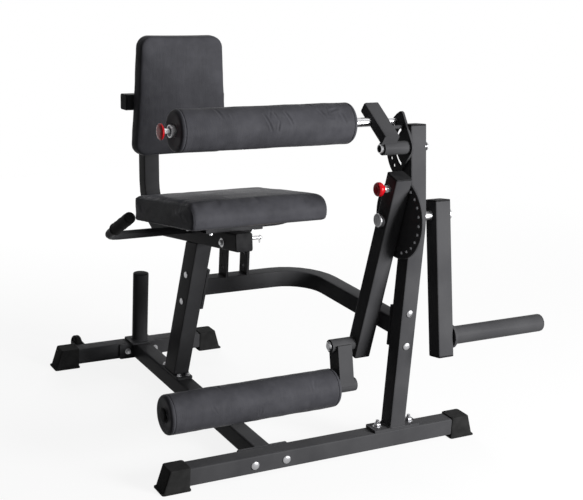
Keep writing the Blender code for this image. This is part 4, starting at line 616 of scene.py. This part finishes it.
def seat_point(across, run, lift):
    """Crown the top, draw the sides in between the corners and place the point."""
    t = (run - sum(SEAT_RUN) / 2) / ((SEAT_RUN[1] - SEAT_RUN[0]) / 2)
    s = across / SEAT_HALF
    height = (lift - SEAT_LIFT[0]) / (SEAT_LIFT[1] - SEAT_LIFT[0])
    crest = t + 0.3 * (1 - t * t)
    crown = 0.0078 * max(0.0, 1 - s ** 4) * max(0.0, 1 - crest * crest) * max(0.0, height) ** 2
    side = across * (1 - 0.016 * max(0.0, 1 - t * t) * (0.4 + 0.6 * height))
    run = run - 0.003 * t * max(0.0, 1 - s * s)
    point = on_seat(side, run, lift + crown)
    soft = 0.0007 * soft_noise(point, 0.085, 1) + 0.0004 * soft_noise(point, 0.035, 2)
    return point + SEAT_NORMAL * soft * max(0.0, min(1.0, height * 3))


def seat_cushion():
    """The seat pad: one sheet over the top and the round front, and a panel on each side."""
    builder = bmesh.new()
    rings = []
    ends = [(SEAT_HALF - SIDE_EDGE * (1 - math.sin(a)), SIDE_EDGE * (1 - math.cos(a)))
            for a in (math.radians(90 - 18 * step) for step in range(6))]
    stations = [(-half, inset) for half, inset in ends]
    inner = SEAT_HALF - SIDE_EDGE
    stations += [(-inner + 2 * inner * step / 36, 0.0) for step in range(1, 36)]
    stations += [(half, inset) for half, inset in reversed(ends)]
    for across, inset in stations:
        rings.append([builder.verts.new(seat_point(across, run, lift))
                      for run, lift in seat_loop(inset)])
    for lower, upper in zip(rings, rings[1:]):
        bridge(builder, lower, upper)
    for ring, across in ((rings[0], -SEAT_HALF), (rings[-1], SEAT_HALF)):
        loop = seat_loop(SIDE_EDGE)
        centre = (sum(p[0] for p in loop) / len(loop), sum(p[1] for p in loop) / len(loop))
        last = ring
        for scale in (0.9, 0.75, 0.55, 0.3, 0.1):
            bulge = math.copysign(0.0015 * (1 - scale * scale), across)
            closer = [builder.verts.new(seat_point(across + bulge,
                                                   centre[0] + (run - centre[0]) * scale,
                                                   centre[1] + (lift - centre[1]) * scale))
                      for run, lift in loop]
            bridge(builder, last, closer)
            last = closer
        builder.faces.new(last)
    bmesh.ops.recalc_face_normals(builder, faces=builder.faces)
    piece = object_from("seat_pad", builder)

    def rest_on(point):
        lift = (point - on_seat(0.0, 0.0, 0.0)).dot(SEAT_NORMAL)
        return max(0.0, min(1.0, (lift - SEAT_LIFT[0] - 0.004) / 0.012))

    puff(piece, rest_on, 0.0035)
    finish_pad(piece, "frame", "seat_cushion")
    piece.modifiers.new("smooth", "SUBSURF").render_levels = 1
    return piece


BACK_HALF = 0.1370
BACK_TAPER = 0.069
BACK_UPWARD = (-0.1505, 0.1905)
BACK_DEPTH = (0.0270, 0.0712)
BACK_EDGE = 0.008
BACK_CORNER = 0.035
BACK_CROWN = 0.005


def back_cushion():
    """The back pad: a crowned face with round corners and a boxed edge."""
    builder = bmesh.new()
    height = BACK_DEPTH[1] - BACK_DEPTH[0]
    mid = sum(BACK_UPWARD) / 2
    half_up = (BACK_UPWARD[1] - BACK_UPWARD[0]) / 2

    def loop(inset):
        radius = BACK_CORNER - inset
        return rounded_loop((-BACK_HALF + inset, -half_up + inset),
                            (BACK_HALF - inset, half_up - inset), [radius] * 4,
                            per_corner=10, per_side=(16, 22))

    def point(a, b, depth, crown):
        s = a / BACK_HALF
        t = b / half_up
        level = (depth - BACK_DEPTH[0]) / height
        a *= 1 - BACK_TAPER * t - 0.010 * max(0.0, 1 - t * t)
        b -= b * 0.008 * max(0.0, 1 - s * s)
        spot = on_back(a, mid + b, depth + crown * max(0.0, 1 - s * s) * max(0.0, 1 - t * t))
        soft = 0.0006 * soft_noise(spot, 0.07, 5) + 0.0004 * soft_noise(spot, 0.03, 6)
        return spot + BACK_FORWARD * soft * max(0.0, min(1.0, level * 2))

    levels = [(0.0, 0.004), (0.002, 0.001), (0.006, -0.0005), (height * 0.35, -0.0022),
              (height * 0.55, -0.0015)]
    for step in range(8):
        angle = math.pi / 2 * step / 7
        levels.append((height - BACK_EDGE * (1 - math.sin(angle)),
                       BACK_EDGE * (1 - math.cos(angle))))
    rings = [[builder.verts.new(point(a, b, BACK_DEPTH[0] + depth, BACK_CROWN))
              for a, b in loop(inset)] for depth, inset in levels]
    for scale in (0.93, 0.84, 0.72, 0.58, 0.42, 0.26, 0.1):
        rings.append([builder.verts.new(point(a * scale, b * scale, BACK_DEPTH[1], BACK_CROWN))
                      for a, b in loop(BACK_EDGE)])
    for lower, upper in zip(rings, rings[1:]):
        bridge(builder, lower, upper)
    builder.faces.new(rings[-1])
    last = rings[0]
    for scale in (0.85, 0.6, 0.3, 0.1):
        closer = [builder.verts.new(point(a * scale, b * scale, BACK_DEPTH[0], 0.0))
                  for a, b in loop(0.004)]
        bridge(builder, last, closer)
        last = closer
    builder.faces.new(last)
    bmesh.ops.recalc_face_normals(builder, faces=builder.faces)
    piece = object_from("back_pad", builder)

    def rest_on(spot):
        depth = (spot - on_back(0.0, 0.0, 0.0)).dot(BACK_FORWARD)
        return max(0.0, min(1.0, (depth - BACK_DEPTH[0] - 0.004) / 0.012))

    puff(piece, rest_on, 0.0022)
    finish_pad(piece, "backrest", "back_cushion")
    piece.modifiers.new("smooth", "SUBSURF").render_levels = 1


ROLLER_EDGE = 0.0095
ROLLER_SEAM = 0.0115
ROLLER_BORE = 0.0132
ROLLER_RINGS = 184
ROLLER_SIDES = 132
SLEEVE_ROOM = 0.0006
SLEEVE_EDGE = 0.004
SLEEVE_SEAM_ANGLE = math.radians(205)
MOST_PROUD = 0.0009


def roller_profile(half, radius):
    """A roller's profile, distances along and radii: bore, end, stitched edge and sleeve."""
    side = [(half - 0.0030, ROLLER_BORE), (half - 0.0022, 0.017), (half - 0.0016, 0.024),
            (half - 0.0010, 0.032), (half - 0.0003, radius - ROLLER_EDGE - 0.003)]
    for step in range(1, 8):
        angle = math.pi / 2 * step / 8
        side.append((half - ROLLER_EDGE * (1 - math.cos(angle)),
                     radius - ROLLER_EDGE * (1 - math.sin(angle))))
    seam = half - ROLLER_SEAM
    side += [(seam + 0.0012, radius), (seam + 0.0004, radius - 0.0007), (seam, radius - 0.0016),
             (seam - 0.0004, radius - 0.0007), (seam - 0.0014, radius - 0.0001)]
    start = seam - 0.004
    sleeve = [(start - 2 * start * step / ROLLER_RINGS, radius)
              for step in range(ROLLER_RINGS + 1)]
    return side + sleeve + [(-along, reach) for along, reach in reversed(side)]


def crease_move(along, angle, radius, crease):
    """How far one crease moves a point of the sleeve: a groove with a low ridge beside it."""
    start, start_angle, end, end_angle, depth, width = crease
    run, climb = end - start, (end_angle - start_angle) * radius
    off_run, off_climb = along - start, (angle - start_angle) * radius
    share = max(0.0, min(1.0, (off_run * run + off_climb * climb) / (run * run + climb * climb)))
    gap = math.hypot(off_run - run * share, off_climb - climb * share)
    fade = math.sin(math.pi * (0.12 + 0.76 * share))
    groove = math.exp(-(gap / width) ** 2)
    ridge = math.exp(-((gap - 2.1 * width) / width) ** 2)
    return depth * fade * (groove - 0.55 * ridge)


def sleeve_move(along, angle, reach, radius, creases, seed):
    """How far the sleeve stands off its round: soft dents, creases and the seam behind."""
    flow = Vector((along, reach * math.cos(angle) * 0.7, reach * math.sin(angle)))
    move = 0.0011 * soft_noise(flow, 0.060, seed)
    move += 0.0005 * soft_noise(flow, 0.022, seed + 3)
    for crease in creases:
        move += crease_move(along, angle, radius, crease)
    behind = abs((angle - SLEEVE_SEAM_ANGLE + math.pi) % math.tau - math.pi) * radius
    move -= 0.0013 * math.exp(-(behind / 0.0016) ** 2)
    return min(move, MOST_PROUD)


def roller_pad(name, node, body, creases, seed):
    """A foam roller in a sewn vinyl sleeve, a cap stitched round each end."""
    low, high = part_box(node)
    centre = (low + high) / 2
    half = (high.x - low.x) / 2
    radius = (high.z - low.z) / 2 - SLEEVE_ROOM
    builder = bmesh.new()
    rings = []
    for along, reach in roller_profile(half, radius):
        ring = []
        for i in range(ROLLER_SIDES):
            angle = math.tau * i / ROLLER_SIDES
            out = Vector((0.0, -math.cos(angle), math.sin(angle)))
            move = 0.0
            if reach > radius - SLEEVE_EDGE:
                move = sleeve_move(along, angle, reach, radius, creases, seed)
            ring.append(builder.verts.new(centre + X * along + out * reach + out * move))
        rings.append(ring)
    for lower, upper in zip(rings, rings[1:]):
        bridge(builder, lower, upper)
    bridge(builder, rings[-1], rings[0])
    bmesh.ops.recalc_face_normals(builder, faces=builder.faces)
    finish_pad(object_from(name, builder), body, node)


def creases_for(seed, count, length):
    """Short creases strewn over a roller's sleeve: ends as distance and angle, depth, width."""
    draw = random.Random(seed)
    found = []
    for _ in range(count):
        along = draw.uniform(-0.42, 0.42) * length
        angle = draw.uniform(0.0, math.tau)
        found.append((along, angle, along + draw.uniform(-0.018, 0.018),
                      angle + draw.uniform(0.25, 0.7), -draw.uniform(0.0006, 0.0013),
                      draw.uniform(0.0016, 0.0030)))
    return found


THIGH_CREASES = [
    (-0.022, 0.82, -0.005, 0.02, -0.0019, 0.0022), (0.004, 0.98, 0.013, 0.56, -0.0013, 0.0024),
    (0.017, 0.44, 0.010, -0.15, -0.0017, 0.0022), (0.038, 0.92, 0.052, 0.28, -0.0019, 0.0023),
    (0.135, 0.98, 0.150, 0.55, -0.0022, 0.0028), (0.150, 0.55, 0.172, 0.46, -0.0017, 0.0026),
    (0.165, 0.86, 0.191, 0.98, -0.0017, 0.0030), (0.196, 0.72, 0.207, 0.22, -0.0011, 0.0028)]
roller_pad("thigh_roller", "thigh_roller_pad", "thigh_roller",
           THIGH_CREASES + creases_for(4, 12, 0.488), 11)
roller_pad("lower_roller", "lower_roller_pad", "lower_roller", creases_for(9, 10, 0.497), 21)
seat = seat_cushion()
back_cushion()


# Seams, laid on the finished pads

WELT_RADIUS = 0.0013
WELT_SINK = 0.0004
WELT_PITCH = 0.004
WELT_SIDES = 8


def welt(name, points, pad, body):
    """A thin cord of vinyl sewn into a pad's edge, open at its ends and following the skin."""
    skin = BVHTree.FromObject(pad, bpy.context.evaluated_depsgraph_get())
    builder = bmesh.new()
    laid = []
    for point in points:
        near, normal, _, _ = skin.find_nearest(point)
        laid.append((near - normal * WELT_SINK, normal))
    rings = []
    count = len(laid)
    for i, (centre, normal) in enumerate(laid):
        ahead = (laid[(i + 1) % count][0] - laid[i - 1][0]).normalized()
        across = ahead.cross(normal).normalized()
        turns = [math.tau * k / WELT_SIDES for k in range(WELT_SIDES)]
        rings.append([builder.verts.new(centre + across * WELT_RADIUS * math.cos(turned)
                                        + normal * WELT_RADIUS * math.sin(turned))
                      for turned in turns])
    for lower, upper in zip(rings, rings[1:]):
        bridge(builder, lower, upper)
    builder.faces.new(rings[0])
    builder.faces.new(rings[-1])
    new_piece(name, builder, body, "vinyl")


def dense(points):
    """The same open path at an even pitch."""
    found = []
    for first, second in zip(points, points[1:]):
        steps = max(1, round((second - first).length / WELT_PITCH))
        found += [first.lerp(second, step / steps) for step in range(steps)]
    return found + [points[-1]]


WELT_INSET = SIDE_EDGE * 0.35
for name, side in (("seat_welt_left", -1), ("seat_welt_right", 1)):
    outline = [(run, lift) for run, lift in seat_loop(WELT_INSET)
               if lift > SEAT_LIFT[0] + 0.012]
    start = max(range(len(outline)), key=lambda i: (outline[i][0] - outline[i - 1][0]) ** 2
                + (outline[i][1] - outline[i - 1][1]) ** 2)
    outline = outline[start:] + outline[:start]
    path = [seat_point(side * (SEAT_HALF - WELT_INSET), run, lift) for run, lift in outline]
    welt(name, dense(path), seat, "frame")


# Fasteners

# Left is towards -X, as the camera sees it
SIDES = (("left", -1), ("right", 1))

STAB_FRONT = -0.025
FRONT_NUT = 0.0313
REAR_BOLT = 0.932
REAR_NUT = 0.8757
FLANGE_BOLT = 0.047
FLANGE_Z = 0.0345
FLANGE_HEAD = 0.0118
for label, side in SIDES:
    x = side * FLANGE_BOLT
    dome_bolt("bolt_front_" + label, place(x, STAB_FRONT, FLANGE_Z), -Y, "frame", FLANGE_HEAD)
    lock_nut("nut_front_" + label, place(x, FRONT_NUT, FLANGE_Z), Y, "frame")
    dome_bolt("bolt_rear_" + label, place(x, REAR_BOLT, FLANGE_Z), Y, "frame", FLANGE_HEAD)
    lock_nut("nut_rear_" + label, place(x, REAR_NUT, FLANGE_Z), -Y, "frame")

FOOT_BOLTS = (("left", 0.346), ("right", 0.450))
FOOT_TOP = 0.068
FOOT_UNDER = 0.010
FOOT_NUT = 0.017
FOOT_THREADS = 8
FOOT_HEAD = 0.0085
for label, x in FOOT_BOLTS:
    lock_nut("nut_foot_" + label, place(x, 0.0, FOOT_TOP), Z, "frame", FOOT_NUT, FOOT_THREADS)
    dome_bolt("bolt_foot_" + label, place(x, 0.0, FOOT_UNDER), -Z, "frame", FOOT_HEAD)

SMALL_BOLT = 0.010
SEAT_FOOT_BOLTS = (("front", 0.5445), ("rear", 0.6505))
SEAT_FOOT_BOLT_X = 0.014
SEAT_FOOT_TOP = 0.067
for label, y in SEAT_FOOT_BOLTS:
    for hand, side in SIDES:
        hex_bolt("bolt_seat_foot_%s_%s" % (label, hand),
                 place(side * SEAT_FOOT_BOLT_X, y, SEAT_FOOT_TOP), Z, "frame", SMALL_BOLT, 0.0075)

UPRIGHT_X = 0.398
UPRIGHT_FOOT_Z = 0.0641
UPRIGHT_RUN = -0.023
UPRIGHT_RISE = 0.589
UPRIGHT_LEAN = math.atan2(UPRIGHT_RUN, UPRIGHT_RISE)
UPRIGHT_NORMAL = Vector((0.0, math.cos(UPRIGHT_LEAN), -math.sin(UPRIGHT_LEAN)))
UPRIGHT_BOLTS = (("top", 0.406), ("bottom", 0.311))
UPRIGHT_HEAD = 0.0108
PLATE_PROUD = 0.0083


def upright_face(z, rear):
    """How far back the main upright's front or rear face is, below its knee."""
    y = (z - UPRIGHT_FOOT_Z) * math.tan(UPRIGHT_LEAN)
    return y + (TUBE_HALF if rear else -TUBE_HALF) / math.cos(UPRIGHT_LEAN)


for label, z in UPRIGHT_BOLTS:
    dome_bolt("bolt_upright_" + label, place(UPRIGHT_X, upright_face(z, False), z),
              -UPRIGHT_NORMAL, "frame", UPRIGHT_HEAD)
    lock_nut("nut_upright_" + label, place(UPRIGHT_X, upright_face(z, True) + PLATE_PROUD, z),
             UPRIGHT_NORMAL, "frame")

SEAT_UPRIGHT_BOLTS = (("bottom", 0.516, 0.316), ("top", 0.4905, 0.4045))
SEAT_UPRIGHT_HEAD = 0.0095
SEAT_UPRIGHT_NUT = 0.0333
for label, y, z in SEAT_UPRIGHT_BOLTS:
    dome_bolt("bolt_seat_upright_" + label, place(-TUBE_HALF, y, z), -X, "frame",
              SEAT_UPRIGHT_HEAD)
    lock_nut("nut_seat_upright_" + label, place(SEAT_UPRIGHT_NUT, y, z), X, "frame")

SEAT_TUBE_BOLT = (0.083, -0.006)
hex_bolt("bolt_seat_tube", on_seat(-TUBE_HALF, *SEAT_TUBE_BOLT), -X, "frame", BOLT_ACROSS, 0.013)
lock_nut("nut_seat_tube", on_seat(TUBE_HALF, *SEAT_TUBE_BOLT), X, "frame")

BRACKET_BOLTS = (("front", 0.070), ("rear", 0.220))
BRACKET_BOLT_X = 0.062
BRACKET_UNDER = 0.0247
for label, run in BRACKET_BOLTS:
    for hand, side in SIDES:
        hex_bolt("bolt_bracket_%s_%s" % (label, hand),
                 on_seat(side * BRACKET_BOLT_X, run, BRACKET_UNDER), -SEAT_NORMAL, "frame",
                 SMALL_BOLT, 0.0085)

BACK_BOLT_X = 0.105
BACK_BAR_REAR = -0.020
for hand, side in SIDES:
    hex_bolt("bolt_back_" + hand, on_back(side * BACK_BOLT_X, 0.0, BACK_BAR_REAR),
             -BACK_FORWARD, "backrest", 0.011)


# Weld beads

WELD_HALF = 0.0252
UPRIGHT_WELD = place(UPRIGHT_X, 0.0, 0.0685)
SEAT_FOOT_WELD = place(0.0, 0.5962, 0.0672)
SEAT_FOOT_HALF_DEPTH = 0.0378
STORAGE_PEG_WELD = place(0.0, 0.893, 0.0667)
PEG_WELD_RADIUS = 0.0253
WEIGHT_PEG_WELD = Vector((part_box("weight_peg")[0].x + 0.0092, *middle("weight_peg_plug")[1:]))

weld_bead("weld_upright_foot", rectangle_path(UPRIGHT_WELD, X, Y, WELD_HALF, WELD_HALF), "frame")
weld_bead("weld_seat_foot",
          rectangle_path(SEAT_FOOT_WELD, X, Y, WELD_HALF, SEAT_FOOT_HALF_DEPTH), "frame")
weld_bead("weld_storage_peg", circle_path(STORAGE_PEG_WELD, Z, PEG_WELD_RADIUS), "frame")
weld_bead("weld_weight_peg", circle_path(WEIGHT_PEG_WELD, X, 0.0255), "weight_swing", 0.0018)


# Hitch pin's spring clip

CLIP_FROM_END = 0.006
CLIP_SIZE = 0.6
CLIP_WIRE = 0.0009


def clip():
    """A bent wire clip through the hitch pin's hole."""
    low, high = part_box("hitch_pin")
    hole = Vector((high.x - CLIP_FROM_END, (low.y + high.y) / 2, (low.z + high.z) / 2))
    points = [Vector((0.0, 0.0, 0.012)), Vector((0.0, 0.0, 0.0)), Vector((0.0, 0.0, -0.012)),
              Vector((0.0, 0.001, -0.022)), Vector((0.0, 0.005, -0.028)),
              Vector((0.0, 0.010, -0.026)), Vector((0.0, 0.011, -0.020)),
              Vector((0.0, 0.0085, -0.013)), Vector((0.0, 0.0085, -0.004)),
              Vector((0.0, 0.0090, 0.004)), Vector((0.0, 0.0075, 0.010))]
    curve = bpy.data.curves.new("spring_clip", "CURVE")
    curve.dimensions = "3D"
    curve.bevel_depth = CLIP_WIRE
    curve.bevel_resolution = 3
    curve.use_fill_caps = True
    spline = curve.splines.new("BEZIER")
    spline.bezier_points.add(len(points) - 1)
    for knot, point in zip(spline.bezier_points, points):
        knot.co = hole + point * CLIP_SIZE
        knot.handle_left_type = "AUTO"
        knot.handle_right_type = "AUTO"
    piece = bpy.data.objects.new("spring_clip", curve)
    bpy.context.scene.collection.objects.link(piece)
    curve.materials.append(MATERIALS["chrome"])
    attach(piece, "hitch_pin")


clip()


def pivot_end():
    """The thigh pivot's end: a plated ring round a dark domed bolt."""
    low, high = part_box("thigh_pivot_pin")
    end = Vector((low.x, (low.y + high.y) / 2, (low.z + high.z) / 2))
    radius = (high.z - low.z) / 2
    builder = bmesh.new()
    turn(builder, end, -X, [(0.0, radius * 0.72), (0.0018, radius * 0.74), (0.0024, radius * 0.80),
                            (0.0024, radius * 0.92), (0.0016, radius * 0.985), (0.0, radius)],
         40, capped=False)
    new_piece("pivot_ring", builder, "frame", "chrome")
    dome_bolt("pivot_bolt", end, -X, "frame", radius * 0.70, "black_plastic")


pivot_end()


# Studio

FLOOR_SIZE = 80.0
FLOOR_SEEN = (0.92, 0.92, 0.92)
FLOOR_AS_LIGHT = (0.12, 0.12, 0.12)
FLOOR_GLOW = 0.87
GLOW_STARTS = 1.1
GLOW_FULL = 3.1
WORLD_AS_LIGHT = 0.10


def seen_rays(tree):
    """1 for the rays that show the background: the camera's, and those of gloss and glass."""
    path = tree.nodes.new("ShaderNodeLightPath")
    seen = path.outputs["Is Camera Ray"]
    for kind in ("Is Glossy Ray", "Is Transmission Ray"):
        larger = tree.nodes.new("ShaderNodeMath")
        larger.operation = "MAXIMUM"
        tree.links.new(seen, larger.inputs[0])
        tree.links.new(path.outputs[kind], larger.inputs[1])
        seen = larger.outputs[0]
    return seen


def floor_material():
    """A pale floor that shows white, fully so far out, and keeps the object's shadow."""
    material, tree, shader = new_material("floor", FLOOR_SEEN, 0.85)
    shader.inputs["Specular IOR Level"].default_value = 0.0
    seen = seen_rays(tree)
    tree.links.new(tint(tree, seen, FLOOR_AS_LIGHT, FLOOR_SEEN, 0.0, 1.0),
                   shader.inputs["Base Color"])
    distance = tree.nodes.new("ShaderNodeVectorMath")
    distance.operation = "LENGTH"
    tree.links.new(coordinates(tree), distance.inputs[0])
    glowing = spread(tree, distance.outputs["Value"], FLOOR_GLOW, 1.0, GLOW_STARTS, GLOW_FULL)
    share = tree.nodes.new("ShaderNodeMath")
    share.operation = "MULTIPLY"
    tree.links.new(seen, share.inputs[0])
    tree.links.new(glowing, share.inputs[1])
    glow = add(tree, "ShaderNodeEmission", Strength=1.0)
    mix = tree.nodes.new("ShaderNodeMixShader")
    tree.links.new(share.outputs[0], mix.inputs["Fac"])
    tree.links.new(shader.outputs["BSDF"], mix.inputs[1])
    tree.links.new(glow.outputs["Emission"], mix.inputs[2])
    tree.links.new(mix.outputs["Shader"], tree.nodes["Material Output"].inputs["Surface"])
    return material


def studio_floor():
    """A flat sheet that the object stands on."""
    builder = bmesh.new()
    bmesh.ops.create_grid(builder, x_segments=2, y_segments=2, size=FLOOR_SIZE / 2)
    sheet = object_from("studio_floor", builder)
    sheet.data.materials.append(floor_material())


def studio_world():
    """White where it is seen and dim as a light, because the lamps light the object."""
    world = bpy.data.worlds.new("studio")
    world.use_nodes = True
    tree = world.node_tree
    background = tree.nodes["Background"]
    background.inputs["Color"].default_value = (1.0, 1.0, 1.0, 1.0)
    tree.links.new(spread(tree, seen_rays(tree), WORLD_AS_LIGHT, 1.0, 0.0, 1.0),
                   background.inputs["Strength"])
    bpy.context.scene.world = world


def softbox(name, location, aim, width, height, power, glare=True):
    """A soft lamp aimed at a point, with or without its reflection."""
    lamp = bpy.data.lights.new(name, "AREA")
    lamp.shape = "RECTANGLE"
    lamp.size = width
    lamp.size_y = height
    lamp.energy = power
    thing = bpy.data.objects.new(name, lamp)
    thing.location = location
    thing.rotation_euler = (Vector(aim) - Vector(location)).to_track_quat("-Z", "Y").to_euler()
    thing.visible_camera = False
    thing.visible_glossy = glare
    bpy.context.scene.collection.objects.link(thing)


studio_floor()
studio_world()
softbox("key", (1.75, -3.1, 1.20), (0.0, -0.2, 0.55), 1.3, 1.5, 210.0)
softbox("top", (0.5, -0.6, 3.2), (0.0, 0.0, 0.4), 2.0, 2.0, 16.0)
softbox("rear", (0.7, 3.6, 0.80), (0.0, 0.2, 0.50), 1.8, 1.5, 130.0, glare=False)


# Camera, fitted to the photograph's straight tubes

AZIMUTH = math.radians(29.71)
PITCH = math.radians(15.87)
ROLL = math.radians(3.04)
FOCAL_PIXELS = 1223.82
IMAGE_WIDTH = 583.0
SENSOR = 36.0
CAMERA_PLACE = (-1.7034, -3.0424, 1.4604)

forward = Vector((math.sin(AZIMUTH) * math.cos(PITCH), math.cos(AZIMUTH) * math.cos(PITCH),
                  -math.sin(PITCH)))
right = Vector((math.cos(AZIMUTH), -math.sin(AZIMUTH), 0.0))
upward = right.cross(forward)
rolled_right = right * math.cos(ROLL) + upward * math.sin(ROLL)
rolled_up = upward * math.cos(ROLL) - right * math.sin(ROLL)
camera = bpy.data.cameras.new("camera")
camera.sensor_width = SENSOR
camera.lens = FOCAL_PIXELS * SENSOR / IMAGE_WIDTH
camera.clip_end = 100.0
holder = bpy.data.objects.new("camera", camera)
holder.matrix_world = Matrix.Translation(CAMERA_PLACE) @ Matrix(
    (rolled_right, rolled_up, -forward)).transposed().to_4x4()
bpy.context.scene.collection.objects.link(holder)
bpy.context.scene.camera = holder
bpy.context.scene.view_settings.view_transform = "Standard"
